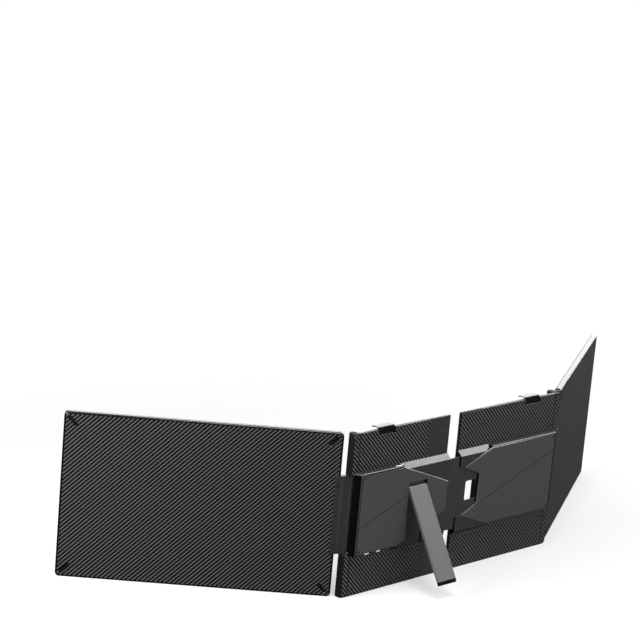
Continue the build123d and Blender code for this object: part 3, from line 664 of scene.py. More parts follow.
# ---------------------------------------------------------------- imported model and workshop
class Packed:
    """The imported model: its nodes, joints and slots, and copies of its meshes."""

    def __init__(self) -> None:
        """Load the frame and read which slot each node is in."""
        self.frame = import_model()
        self.nodes = self.frame["nodes"]
        self.joints = {joint["name"]: joint for joint in self.frame["joints"]}
        self.slots = {part["node"]: Slot(part["material_slot"]) for part in self.frame["record"]["subparts"]}

    def box_in(self, node: str, axes: Matrix) -> tuple[Vector, Vector]:
        """Lowest and highest corner of a node in a sub-assembly's own axes.

        Args:
            node: The CAD node.
            axes: The matrix from those axes to the frame's.

        Returns:
            The two corners.
        """
        inverse = axes.inverted()
        points = [inverse @ vertex.co for vertex in self.nodes[node].data.vertices]
        low = Vector([min(point[i] for point in points) for i in range(3)])
        high = Vector([max(point[i] for point in points) for i in range(3)])
        return low, high

    def copy(self, name: str, node: str) -> Piece:
        """Copy a node's mesh into a new piece, merged and freed of needless edges.

        Args:
            name: The new piece's name.
            node: The CAD node, which is left alone.

        Returns:
            The new object.
        """
        mesh = self.nodes[node].data.copy()
        mesh.materials.clear()
        piece = bpy.data.objects.new(name, mesh)
        bpy.context.scene.collection.objects.link(piece)
        select_faces(piece, lambda centre, normal: True)
        bpy.ops.mesh.remove_doubles(threshold=NEAR / 10)
        bpy.ops.mesh.dissolve_limited(angle_limit=FLAT)
        close_edit()
        return piece


class Workshop:
    """Finishes pieces and puts them on their bodies."""

    def __init__(self, packed: Packed) -> None:
        """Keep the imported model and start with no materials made."""
        self.packed = packed
        self.made: dict[str, bpy.types.Material] = {}

    def material(self, finish: Finish) -> bpy.types.Material:
        """The material of a finish, made once."""
        if finish.name not in self.made:
            self.made[finish.name] = finish.material()
        return self.made[finish.name]

    def paint(self, piece: Piece, *finishes: Finish, which: FaceChoice | None = None) -> None:
        """Add finishes to a piece and choose each face's.

        Args:
            piece: The piece.
            finishes: The finishes that come after those that it has.
            which: Tells from a face's centre and normal the number of its finish.
        """
        for finish in finishes:
            piece.data.materials.append(self.material(finish))
        if which:
            for face in piece.data.polygons:
                face.material_index = which(face.center, face.normal)

    def deliver(self, piece: Piece, finish: Finish, body: str, slot: Slot, *replaced: str) -> None:
        """Give a piece its finish if it has none, smooth it and set it on its body.

        Args:
            piece: The finished mesh.
            finish: Its surface.
            body: The CAD body that it rides on.
            slot: The record's slot that it belongs to; not used.
            replaced: The CAD nodes that it stands for.
        """
        if not piece.data.materials:
            self.paint(piece, finish)
        pick(piece)
        bpy.ops.object.shade_smooth_by_angle(angle=SMOOTH)
        step = piece.modifiers.new("normals", "WEIGHTED_NORMAL")
        step.keep_sharp = True
        bpy.ops.object.modifier_apply(modifier=step.name)
        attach(piece, body)
        if replaced:
            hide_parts(*replaced)
        LOG.info("%s: %d faces, on %s", piece.name, len(piece.data.polygons), body)

    def carry(self, node: str, finish: Finish, edge: float, body: str) -> Piece:
        """Carry a CAD shape over as a piece with softened edges.

        Args:
            node: The CAD node.
            finish: Its surface.
            edge: How far its edges are rounded.
            body: The body that it rides on.

        Returns:
            The piece.
        """
        piece = self.packed.copy(f"{node}_piece", node)
        soften(piece, edge)
        self.deliver(piece, finish, body, self.packed.slots[node], node)
        return piece

    def dress(self, node: str, finish: Finish) -> None:
        """Give a CAD node, which is shown as it is, its finish.

        Args:
            node: The CAD node.
            finish: Its surface.
        """
        mesh = self.packed.nodes[node].data
        mesh.materials.clear()
        mesh.materials.append(self.material(finish))
        LOG.info("%s: shown as packed, in %s", node, finish.name)


# ---------------------------------------------------------------- this object's finishes
# Fine spark-eroded ABS of the housings: near black, a soft sheen and no pattern that the eye resolves.
HOUSING = Finish("matt_abs_moulding", "#0a0a0b", 0.34)
# The hub's bases and the slide's cover, moulded in a dark grey that goes with the painted covers.
HUB_ABS = Finish("dark_grey_hub_moulding", "#29292b", 0.36)
# The screens' rounded rims, polished in the tool: black with a crisp line of light along the top.
SHELL_RIM = Finish("polished_shell_rim", "#040405", 0.22, ior=1.45, relief=0.002 * MM)
# Painted shade on the hub's walls, the covers' grooves and sides and the upper columns' tops: deep black and
# dull.
HUB_PAINTED_SHADE = Finish("black_painted_shade", "#030303", 0.5, ior=1.15)
# The same ABS on the bezels, a shade lighter with a silkier face.
BEZEL = Finish("silk_abs_bezel", "#2b2b2d", 0.38)
# Satin-painted covers of the hub: an even dark grey that catches a broad soft light.
COVER = Finish("satin_painted_cover", "#373739", 0.46, grain=0.3 * MM, relief=0.005 * MM)
# The covers' bevelled rims: glossier, in a lighter grey that is a painted highlight.
COVER_RIM_HIGHLIGHT = Finish("cover_rim_painted_highlight", "#454547", 0.27, grain=0.3 * MM, relief=0.003 * MM)
# Powder coat on the leaves' bent steel: black with a slight orange peel.
POWDER = Finish("powder_coated_steel", "#202022", 0.36, grain=0.8 * MM, relief=0.012 * MM)
# Black powder coat on the hooks, thicker and glossier.
HOOK_COAT = Finish("black_coated_spring_steel", "#0a0a0b", 0.26, grain=0.8 * MM, relief=0.01 * MM)
# Anodised extruded aluminium of the kickstand: grey, fine lines, a metallic sheen.
ANODISED = BrushedMetal("anodised_aluminium", "#5f5f62", 0.42, metallic=0.35, line=0.2 * MM, shade=0.1)
# Powder-coated sheet steel of the slide and the stand's bracket: dark, with faint rolling lines.
SLIDE_COAT = BrushedMetal("coated_slide_steel", "#2a2a2c", 0.44, line=0.3 * MM, shade=0.08)
# Chromed plastic of the menu button: mirror-like with soft edges.
PLATED = Finish("plated_button_cap", "#d9dadc", 0.16, metallic=1.0, shade=0.03, relief=0.001 * MM)
# Nickel-plated steel of the pins and the hinges' sleeves: bright, with drawn lines.
NICKEL = BrushedMetal("nickel_plated_steel", "#b9babd", 0.28, metallic=1.0, line=0.1 * MM, shade=0.15)
# Black-oxidised steel of the screws: dark and half bright.
BLACK_SCREW = Finish("blackened_screw_steel", "#3a3a3c", 0.34, metallic=0.9, grain=0.2 * MM)
# Pressed aluminium sheet inside the screens: pale, with rolling lines.
PRESSED = BrushedMetal("pressed_aluminium_sheet", "#b4b5b8", 0.38, metallic=1.0)
# Soft silicone rubber: deep black, dull, finely pored.
RUBBER = Finish("silicone_rubber", "#050505", 0.75, ior=1.2, grain=0.25 * MM, relief=0.015 * MM)
# Acetal strips: milky white and waxy.
ACETAL = Finish("milled_acetal", "#e4e3dc", 0.4)
# Solder mask on glass-fibre boards: a glossy green over the tracks.
LAMINATE = SolderedBoard("solder_masked_laminate", "#0f5a36", 0.35)
# Anti-glare polariser of a panel that is off: almost black, with a blurred deep sheen.
SCREEN_OFF = Finish("anti_glare_polariser", "#070708", 0.22, coat=0.4, coat_roughness=0.12,
                    grain=0.12 * MM, relief=0.001 * MM)
# Black ink printed round the picture, under the same polariser.
SCREEN_INK = Finish("printed_screen_border", "#030303", 0.2, coat=0.4, coat_roughness=0.12,
                    grain=0.12 * MM, relief=0.001 * MM)
# Tin plate of the sockets' drawn shells: its pale colour pushed nearly white as a painted reflection.
TIN_PAINTED_BRIGHT = Finish("tin_socket_shell_painted_reflection", "#e6e6e8", 0.25, metallic=0.35, relief=0.002 * MM)
# Gold flash on the sockets' contacts: thin, warm and bright.
GOLD = Finish("gold_flashed_contacts", "#e0b35a", 0.22, metallic=1.0, relief=0.0)
# Frosted lens of the charge lamp: white and dull.
LAMP_LENS = Finish("frosted_lamp_lens", "#eef2f0", 0.35, grain=0.2 * MM)


# ---------------------------------------------------------------- small fittings
@dataclass
class CrossScrew:
    """A small screw head with a cross recess, standing along +Y in its sub-assembly's axes."""

    radius: float = 1.4 * MM
    height: float = 0.4 * MM
    edge: float = 0.25 * MM
    edge_steps: int = 3
    slot_share: float = 0.62        # the recess's reach, as a share of the radius
    slot_width: float = 0.34 * MM
    slot_depth: float = 0.3 * MM

    def build(self, name: str, x: float, seat_y: float, z: float) -> Piece:
        """Model one head.

        Args:
            name: The object's name.
            x: Its middle along X.
            seat_y: The face that it stands on.
            z: Its middle along Z.

        Returns:
            The head.
        """
        top = seat_y + self.height
        head = add_rod(name, self.radius, (x, seat_y, z), (x, top, z))
        bevel(head, level(1, top), self.edge, self.edge_steps)
        arm = self.radius * self.slot_share
        for wide, tall in ((arm, self.slot_width / 2), (self.slot_width / 2, arm)):
            cut(head, add_block("recess", (x - wide, top - self.slot_depth, z - tall),
                                (x + wide, top + self.height, z + tall)))
        return head


# ---------------------------------------------------------------- side screens
@dataclass
class SideScreen:
    """One side screen: shell, bezel, panel, corner bars, and the hinge leaf with its screws.

    It is modelled in its own axes, whose upright axis is the hinge's and whose X runs outwards.
    """

    side: Side
    packed: Packed
    shop: Workshop
    corner_radius: float = 5.0 * MM
    corner_steps: int = 8
    back_edge: float = 2.4 * MM
    back_edge_steps: int = 6
    wall: float = 1.4 * MM
    bezel_edge: float = 0.8 * MM
    bezel_side: float = 7.8 * MM
    bezel_top: float = 8.5 * MM
    bezel_chin: float = 19.5 * MM
    window_edge: float = 0.25 * MM
    panel_clearance: float = 0.3 * MM
    ink_border: float = 3.4 * MM
    bar_inset: float = 11.0 * MM
    bar_length: float = 13.0 * MM
    bar_width: float = 2.8 * MM
    bar_lean: float = 45.0          # degrees from level
    bar_sink: float = 1.0 * MM
    bar_proud: float = 0.5 * MM
    bar_edge: float = 0.2 * MM
    bar_gap: float = 0.1 * MM
    seat_edge: float = 0.7 * MM
    seat_flare: float = 0.98        # the chamfer of the seat's edge, as a share of it
    leaf_edge: float = 0.2 * MM
    full_turn: float = 180.0        # a screen folds this far forward from flat

    def __post_init__(self) -> None:
        """Work out the screen's axes from its hinge joint."""
        joint = self.packed.joints[self.side.node("screen_hinge")]
        self.fold = self.full_turn - joint["range_deg"][1]
        self.hinge = Vector((joint["pos_m"][0], joint["pos_m"][1], 0.0))
        self.turn = -self.side.outward * math.radians(self.fold)
        mirror = Matrix.Diagonal((self.side.outward, 1.0, 1.0, 1.0))
        self.axes = Matrix.Translation(self.hinge) @ Matrix.Rotation(self.turn, 4, "Z") @ mirror
        self.body = self.side.node("screen")

    def box(self, name: str) -> tuple[Vector, Vector]:
        """A node's corners in the screen's own axes."""
        return self.packed.box_in(self.side.node(name), self.axes)

    def deliver(self, piece: Piece, finish: Finish, name: str, slot: Slot) -> None:
        """Place a piece that was modelled in the screen's axes and hand it over.

        Args:
            piece: The finished mesh.
            finish: Its surface.
            name: The CAD node that it stands for, without its side.
            slot: The record's slot that it belongs to.
        """
        place(piece, self.axes)
        node = self.side.node(name)
        piece.name = f"{node}_piece"
        self.shop.deliver(piece, finish, self.body, slot, node)

    def film(self) -> TwillPrint:
        """The weave print of this screen's back, which falls towards the outer end."""
        return TwillPrint(self.side.node("screen_twill_print"), "#4a4a4c", 0.3, ior=1.2, relief=0.02 * MM,
                          lean=-self.side.outward, axis_x=self.hinge.x, axis_y=self.hinge.y,
                          turn=self.turn)

    def corner_bars(self, low: Vector, high: Vector, gap: float, sink: float,
                    flare: float = 0.0) -> list[Piece]:
        """Four short bars set diagonally near the corners of the back, or the cutters of their seats.

        Args:
            low: The shell's lowest corner.
            high: The shell's highest corner.
            gap: How much larger than the bar each is made, all round.
            sink: How deep each reaches into the back.
            flare: How far a cutter's lower edges are chamfered.

        Returns:
            The bars.
        """
        bars = []
        half_length = self.bar_length / 2 + gap
        half_width = self.bar_width / 2 + gap
        for x, lean_x in ((low.x + self.bar_inset, 1), (high.x - self.bar_inset, -1)):
            for z, lean_z in ((low.z + self.bar_inset, -1), (high.z - self.bar_inset, 1)):
                bar = add_block("bar", (x - half_length, high.y - sink, z - half_width),
                                (x + half_length, high.y + self.bar_proud, z + half_width))
                if flare:
                    bevel(bar, level(1, high.y - sink), flare, 1)
                turn(bar, self.bar_lean * lean_x * lean_z, "Y", Vector((x, high.y, z)))
                bars.append(bar)
        return bars

    def shell(self) -> None:
        """The back tray: rounded corners, a rounded rim and a thin wall, with seats for the bars."""
        low, high = self.box("screen_back")
        shell = add_block("shell", low, high)
        bevel(shell, along(1), self.corner_radius, self.corner_steps)
        bevel(shell, level(1, high.y), self.back_edge, self.back_edge_steps)
        inset(shell, facing(1, -1), self.wall)
        middle_z = high.z / 2
        extrude(shell, every(facing(1, -1), lambda centre, normal: centre.x > low.x + self.wall
                             and abs(centre.z - middle_z) < self.wall), (0, high.y - low.y - self.wall, 0))
        edge = self.seat_edge
        cut(shell, *self.corner_bars(low, high, self.bar_gap, self.bar_sink),
            *self.corner_bars(low, high, self.bar_gap + edge, edge, edge * self.seat_flare))
        self.shop.paint(shell, SHELL_RIM, self.film(), which=lambda centre, normal: int(
            facing(1, 1)(centre, normal) and centre.y > high.y - NEAR))
        self.deliver(shell, SHELL_RIM, "screen_back", Slot.SHELL)

    def bezel(self) -> None:
        """The front frame, chamfered outside, with the picture's window and the panel's seat."""
        low, high = self.box("screen_bezel")
        frame = add_block("bezel", low, high)
        bevel(frame, along(1), self.corner_radius, self.corner_steps)
        bevel(frame, level(1, low.y), self.bezel_edge, 1)
        left, right = low.x + self.bezel_side, high.x - self.bezel_side
        bottom, top = low.z + self.bezel_chin, high.z - self.bezel_top
        cut(frame, add_block("window", (left, low.y - CLEAR, bottom), (right, high.y + CLEAR, top)))
        panel_low, panel_high = self.box("screen_panel")
        room = Vector((self.panel_clearance, 0, self.panel_clearance))
        cut(frame, add_block("seat", panel_low - room, panel_high + room + Vector((0, CLEAR, 0))))
        bevel(frame, every(level(1, low.y), lambda *ends: all(
            left - NEAR < end.x < right + NEAR and bottom - NEAR < end.z < top + NEAR for end in ends)),
            self.window_edge)
        self.deliver(frame, BEZEL, "screen_bezel", Slot.MOULDING)

    def panel(self) -> None:
        """The display panel: a polariser over the picture and a printed black border."""
        low, high = self.box("screen_panel")
        panel = add_block("panel", low, high)
        inset(panel, facing(1, -1), self.ink_border)
        middle = (low + high) / 2
        self.shop.paint(panel, SCREEN_INK, SCREEN_OFF, which=lambda centre, normal: int(
            facing(1, -1)(centre, normal) and (centre - middle).xz.length < self.ink_border))
        self.deliver(panel, SCREEN_OFF, "screen_panel", Slot.DISPLAY)

    def bars(self) -> None:
        """The four rubber corner bars."""
        low, high = self.box("screen_back")
        bars = join("bars", self.corner_bars(low, high, 0.0, self.bar_sink))
        soften(bars, self.bar_edge)
        self.deliver(bars, RUBBER, "screen_corner_bars", Slot.RUBBER)

    def leaf(self) -> None:
        """The moving knuckle and the leaf lapped over the screen's inner end."""
        self.shop.carry(self.side.node("hinge_leaf"), POWDER, self.leaf_edge, self.body)

    def screws(self) -> None:
        """The three screws through the leaf's lap."""
        low, high = self.box("leaf_screws")
        radius = (high.x - low.x) / 2
        heads = [CrossScrew().build("head", low.x + radius, low.y, z)
                 for z in (low.z + radius, (low.z + high.z) / 2, high.z - radius)]
        self.deliver(join("heads", heads), BLACK_SCREW, "leaf_screws", Slot.STEEL)

    def build(self) -> None:
        """Build and dress the whole screen."""
        for step in (self.shell, self.bezel, self.panel, self.bars, self.leaf, self.screws):
            step()
        for name, finish in (("screen_chassis", PRESSED), ("screen_board", LAMINATE),
                             ("hinge_sleeves", NICKEL)):
            self.shop.dress(self.side.node(name), finish)


# ---------------------------------------------------------------- centre frame
@dataclass
class FrameHalf:
    """One half of the centre frame: sheets, column, tray, tabs, pads and the hook on its top edge."""

    side: Side
    packed: Packed
    shop: Workshop
    sheet_edge: float = 0.35 * MM
    moulding_edge: float = 0.25 * MM
    hook_edge: float = 0.3 * MM
    top_slope: float = 0.9          # faces of the upper column that look this much upwards are its top, which gets painted shade

    def film(self) -> TwillPrint:
        """The weave print of the frame's back."""
        return TwillPrint("frame_twill_print", "#58585a", 0.3, ior=1.3, relief=0.02 * MM, dark="#030303",
                          float_length=1.6)

    def build(self) -> None:
        """Build and dress the whole half."""
        half = self.side.node("half")
        clip = self.side.node("clip")
        for name in ("back_sheet", "column_caps"):
            sheet = self.shop.carry(self.side.node(name), self.film(), self.sheet_edge, half)
            self.shop.paint(sheet, HOUSING, which=lambda centre, normal: int(normal.y <= SQUARE))
        for name, finish, edge, body in (
                ("column_upper", HOUSING, self.moulding_edge, half),
                ("column_lower", HOUSING, self.moulding_edge, half),
                ("front_tray", HOUSING, self.moulding_edge, half),
                ("side_tabs", HOUSING, self.moulding_edge, half),
                ("tab_pads", RUBBER, self.sheet_edge, half),
                ("lid_pads", RUBBER, self.sheet_edge, half),
                ("top_clip", HOOK_COAT, self.hook_edge, clip),
                ("clip_pad", RUBBER, self.sheet_edge, clip)):
            piece = self.shop.carry(self.side.node(name), finish, edge, body)
            # Painted shade: the upper column's top is painted deep black and dull.
            if name == "column_upper":
                self.shop.paint(piece, HUB_PAINTED_SHADE, which=lambda centre, normal: int(normal.z > self.top_slope))
        self.shop.dress(self.side.node("hinge_pins"), NICKEL)


# ---------------------------------------------------------------- hub
@dataclass
class UsbSocket:
    """A USB-C socket whose mouth looks down: a rounded shell, its tongue and the gilt contacts."""

    sheet: float = 0.35 * MM
    round_share: float = 0.44       # the shell's corner radius, as a share of its height
    round_steps: int = 6
    back_wall: float = 1.0 * MM
    tongue_width: float = 6.6 * MM
    tongue_thickness: float = 0.7 * MM
    tongue_recess: float = 0.7 * MM
    contacts: int = 6
    contact_width: float = 0.28 * MM
    contact_proud: float = 0.04 * MM

    def build(self, shop: Workshop, low: Vector, high: Vector) -> Piece:
        """Model one socket between two corners.

        Args:
            shop: Where its materials are made.
            low: Its lowest corner.
            high: Its highest corner.

        Returns:
            The socket, with its materials on.
        """
        shell = add_block("socket", low, high)
        bevel(shell, along(2), (high.y - low.y) * self.round_share, self.round_steps)
        inset(shell, facing(2, -1), self.sheet)
        middle = (low + high) / 2
        extrude(shell, every(facing(2, -1), lambda centre, normal: (centre - middle).xy.length < self.sheet),
                (0, 0, high.z - low.z - self.back_wall))
        shop.paint(shell, TIN_PAINTED_BRIGHT)
        half = Vector((self.tongue_width / 2, self.tongue_thickness / 2, 0))
        root = Vector((middle.x, middle.y, high.z - self.back_wall))
        tip = Vector((middle.x, middle.y, low.z + self.tongue_recess))
        tongue = add_block("tongue", tip - half, root + half)
        soften(tongue, self.sheet / 3)
        shop.paint(tongue, HOUSING)
        strips = []
        pitch = self.tongue_width / (self.contacts + 1)
        reach = half.y + self.contact_proud
        for number in range(self.contacts):
            x = middle.x - half.x + pitch * (number + 1)
            strip = add_block("contact", (x - self.contact_width / 2, middle.y - reach, tip.z + self.sheet),
                              (x + self.contact_width / 2, middle.y + reach, root.z))
            shop.paint(strip, GOLD)
            strips.append(strip)
        return join("socket", [shell, tongue, *strips])


@dataclass
class Hub:
    """The raised hub of both halves, with its covers, screws, sockets, button and slide."""

    packed: Packed
    shop: Workshop
    housing_edge: float = 0.3 * MM
    plate_edge: float = 0.15 * MM
    grey_slope: float = 0.6         # faces of a base that look this much towards +Y or up are grey, the rest get painted shade
    face_slope: float = 0.95        # faces of a cover that look this much towards +Y are its flat face
    rim_slope: float = 0.3          # and those that look this much are its bevelled rim
    socket_width: float = 9.0 * MM
    scoop_margin: float = 0.9 * MM
    scoop_depth: float = 2.3 * MM
    scoop_sink: float = 0.35 * MM
    lamp_inset: float = 12.25 * MM  # the charge lamp's place along X
    lamp_radius: float = 0.58 * MM
    lamp_length: float = 3.0 * MM
    lamp_sides: int = 20

    def socket_boxes(self) -> list[tuple[Vector, Vector]]:
        """The corners of each USB-C socket."""
        low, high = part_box("usb_ports")
        return [(low, Vector((low.x + self.socket_width, high.y, high.z))),
                (Vector((high.x - self.socket_width, low.y, low.z)), high)]

    def base(self, side: Side) -> None:
        """One half's hub base: a grey back and tops, painted shade on the walls, with scoops in the fixed rim
        over the sockets.

        Args:
            side: The half.
        """
        node = side.node("hub_base")
        base = self.packed.copy(f"{node}_piece", node)
        if side is Side.FIXED:
            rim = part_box(node)[1].y + self.scoop_margin
            for low, high in [*self.socket_boxes(), self.lens_box()]:
                cut(base, add_block("scoop", (low.x - self.scoop_margin, high.y - self.scoop_sink,
                                              low.z - self.scoop_depth),
                                    (high.x + self.scoop_margin, rim, low.z + self.scoop_depth)))
        soften(base, self.housing_edge)
        # Painted shade: faces that look neither towards +Y nor up are painted black.
        self.shop.paint(base, HUB_ABS, HUB_PAINTED_SHADE, which=lambda centre, normal: int(
            max(normal.y, normal.z) <= self.grey_slope))
        self.shop.deliver(base, HUB_ABS, side.node("half"), Slot.MOULDING, node)

    def cover(self, side: Side) -> None:
        """One half's cover: a painted face, a bevelled rim with a painted highlight, and painted shade in the
        groove and on the sides.

        Args:
            side: The half.
        """
        node = side.node("hub_cover")
        piece = self.packed.copy(f"{node}_piece", node)
        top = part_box(node)[1].y

        def which(centre: Vector, normal: Vector) -> int:
            """The number of a face's finish."""
            if self.rim_slope < normal.y < self.face_slope:
                return 1
            return 0 if normal.y > self.face_slope and centre.y > top - NEAR else 2

        # Painted highlight on the rim in a lighter grey, painted shade in the groove and on the sides.
        self.shop.paint(piece, COVER, COVER_RIM_HIGHLIGHT, HUB_PAINTED_SHADE, which=which)
        self.shop.deliver(piece, COVER, side.node("half"), self.packed.slots[node], node)

    def cover_screws(self, side: Side) -> None:
        """The two small cross screws at a cover's outer corners.

        Args:
            side: The half.
        """
        node = side.node("cover_screws")
        low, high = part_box(node)
        radius = (high.x - low.x) / 2
        screw = CrossScrew(radius=radius, height=high.y - low.y)
        heads = [screw.build("head", low.x + radius, low.y, z) for z in (low.z + radius, high.z - radius)]
        self.shop.deliver(join(f"{node}_piece", heads), BLACK_SCREW, side.node("half"), Slot.STEEL, node)

    def sockets(self) -> None:
        """The two USB-C sockets in the fixed half's lower wall."""
        sockets = [UsbSocket().build(self.shop, low, high) for low, high in self.socket_boxes()]
        self.shop.deliver(join("usb_ports_piece", sockets), TIN_PAINTED_BRIGHT, "fixed_half", Slot.STEEL, "usb_ports")

    def lens_box(self) -> tuple[Vector, Vector]:
        """The corners of the charge lamp's lens, level with the sockets' +Y flanks.

        Returns:
            The lowest and the highest corner.
        """
        low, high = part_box("usb_ports")
        across = Vector((self.lamp_radius, self.lamp_radius, 0))
        middle = Vector((self.lamp_inset, high.y - self.lamp_radius, low.z))
        return middle - across, middle + across + Vector((0, 0, self.lamp_length))

    def charge_lamp(self) -> None:
        """The frosted lens of the charge lamp, beside the sockets."""
        low, high = self.lens_box()
        middle = (low + high) / 2
        lens = add_rod("charge_lamp_lens", self.lamp_radius, (*middle.xy, low.z), (*middle.xy, high.z),
                       self.lamp_sides)
        bevel(lens, level(2, low.z), self.lamp_radius / 3, 3)
        self.shop.deliver(lens, LAMP_LENS, "fixed_half", Slot.DISPLAY)

    def build(self) -> None:
        """Build and dress the hub."""
        for side in Side:
            self.base(side)
            self.cover(side)
            self.cover_screws(side)
        self.shop.carry("slide_cover", HUB_ABS, self.plate_edge, "fixed_half")
        self.shop.carry("slide_plate", SLIDE_COAT, self.plate_edge, "fixed_half")
        self.shop.carry("menu_button", PLATED, self.plate_edge, "menu_button")
        self.sockets()
        self.charge_lamp()
        for node, finish in (("main_board", LAMINATE), ("link_board", LAMINATE), ("rail_glides", ACETAL)):
            self.shop.dress(node, finish)


@dataclass
class Kickstand:
    """The flat bar that props the object, its shoe, pin and head plate.

    The bar is modelled folded, in axes whose origin is the middle of its pin.
    """

    packed: Packed
    shop: Workshop
    head_round: float = 1.6 * MM
    head_steps: int = 6
    long_edge: float = 0.5 * MM
    foot_band: float = 4.4 * MM     # black soft foot, moulded onto the bar's end
    foot_taper: float = 1.3 * MM
    foot_toe: float = 0.9 * MM
    foot_steps: int = 3
    band_gap: float = 0.08 * MM
    shoe_edge: float = 0.15 * MM
    bracket_edge: float = 0.15 * MM
    pin_radius: float = 1.05 * MM
    line_end: float = 2.8 * MM      # the lines stop this far above the foot, and twice as far below the pin
    line_margin: float = 2.6 * MM
    line_width: float = 0.35 * MM
    line_depth: float = 0.15 * MM

    def __post_init__(self) -> None:
        """Work out the stand's axes from its joint, which is at rest part open."""
        joint = self.packed.joints["kickstand_hinge"]
        opened = Matrix.Rotation(math.radians(-joint["range_deg"][0]), 4, "X")
        self.axes = Matrix.Translation(joint["pos_m"]) @ opened

    def bar(self) -> None:
        """The anodised bar with its rolled head, a fine line inside its edges and a black foot."""
        low, high = self.packed.box_in("kickstand", self.axes)
        seam = low.z + self.foot_band
        bar = add_block("bar", (low.x, low.y, seam + self.band_gap), high)
        bevel(bar, every(along(0), level(2, high.z)), self.head_round, self.head_steps)
        foot = add_block("foot", low, (high.x, high.y, seam))
        select_edges(foot, every(level(2, low.z), level(1, high.y)))
        bpy.ops.transform.translate(value=(0, -self.foot_taper, 0))
        close_edit()
        bevel(foot, every(level(2, low.z), level(1, low.y)), self.foot_toe, self.foot_steps)
        for part in (bar, foot):
            bevel(part, every(along(2), level(1, high.y)), self.long_edge)
        half = self.line_width / 2
        for x in (low.x + self.line_margin, high.x - self.line_margin):
            cut(bar, add_block("line", (x - half, high.y - self.line_depth, seam + self.line_end),
                               (x + half, high.y + CLEAR, -self.line_end * 2)))
        pin = Vector((high.x + CLEAR, 0, 0))
        cut(bar, add_rod("pin_bore", self.pin_radius, -pin, pin))
        shoe_low, shoe_high = self.packed.box_in("kickstand_shoe", self.axes)
        cut(bar, add_block("shoe_seat", shoe_low - Vector((0, CLEAR, 0)), shoe_high))
        self.shop.paint(bar, ANODISED)
        self.shop.paint(foot, RUBBER)
        stand = join("kickstand_piece", [bar, foot])
        place(stand, self.axes)
        self.shop.deliver(stand, ANODISED, "kickstand", Slot.BAR, "kickstand")

    def shoe(self) -> None:
        """The rubber strip that meets the desk when the stand is square to the frame."""
        low, high = self.packed.box_in("kickstand_shoe", self.axes)
        shoe = add_block("kickstand_shoe_piece", low, high)
        soften(shoe, self.shoe_edge)
        place(shoe, self.axes)
        self.shop.deliver(shoe, RUBBER, "kickstand", Slot.RUBBER, "kickstand_shoe")

    def build(self) -> None:
        """Build and dress the stand."""
        self.bar()
        self.shoe()
        self.shop.carry("stand_bracket", SLIDE_COAT, self.bracket_edge, "fixed_half")
        self.shop.dress("stand_pin", NICKEL)


# ---------------------------------------------------------------- studio
@dataclass(frozen=True)
class Lamp:
    """A soft box that looks at the object: its place, size and power, and whether it throws shadows."""

    name: str
    place: tuple[float, float, float]
    size: tuple[float, float]
    power: float
    shadow: bool = True


@dataclass(frozen=True)
class Card:
    """A white card lying on the floor that only the object's gloss sees."""

    middle: tuple[float, float]
    half_size: tuple[float, float]
    brightness: float


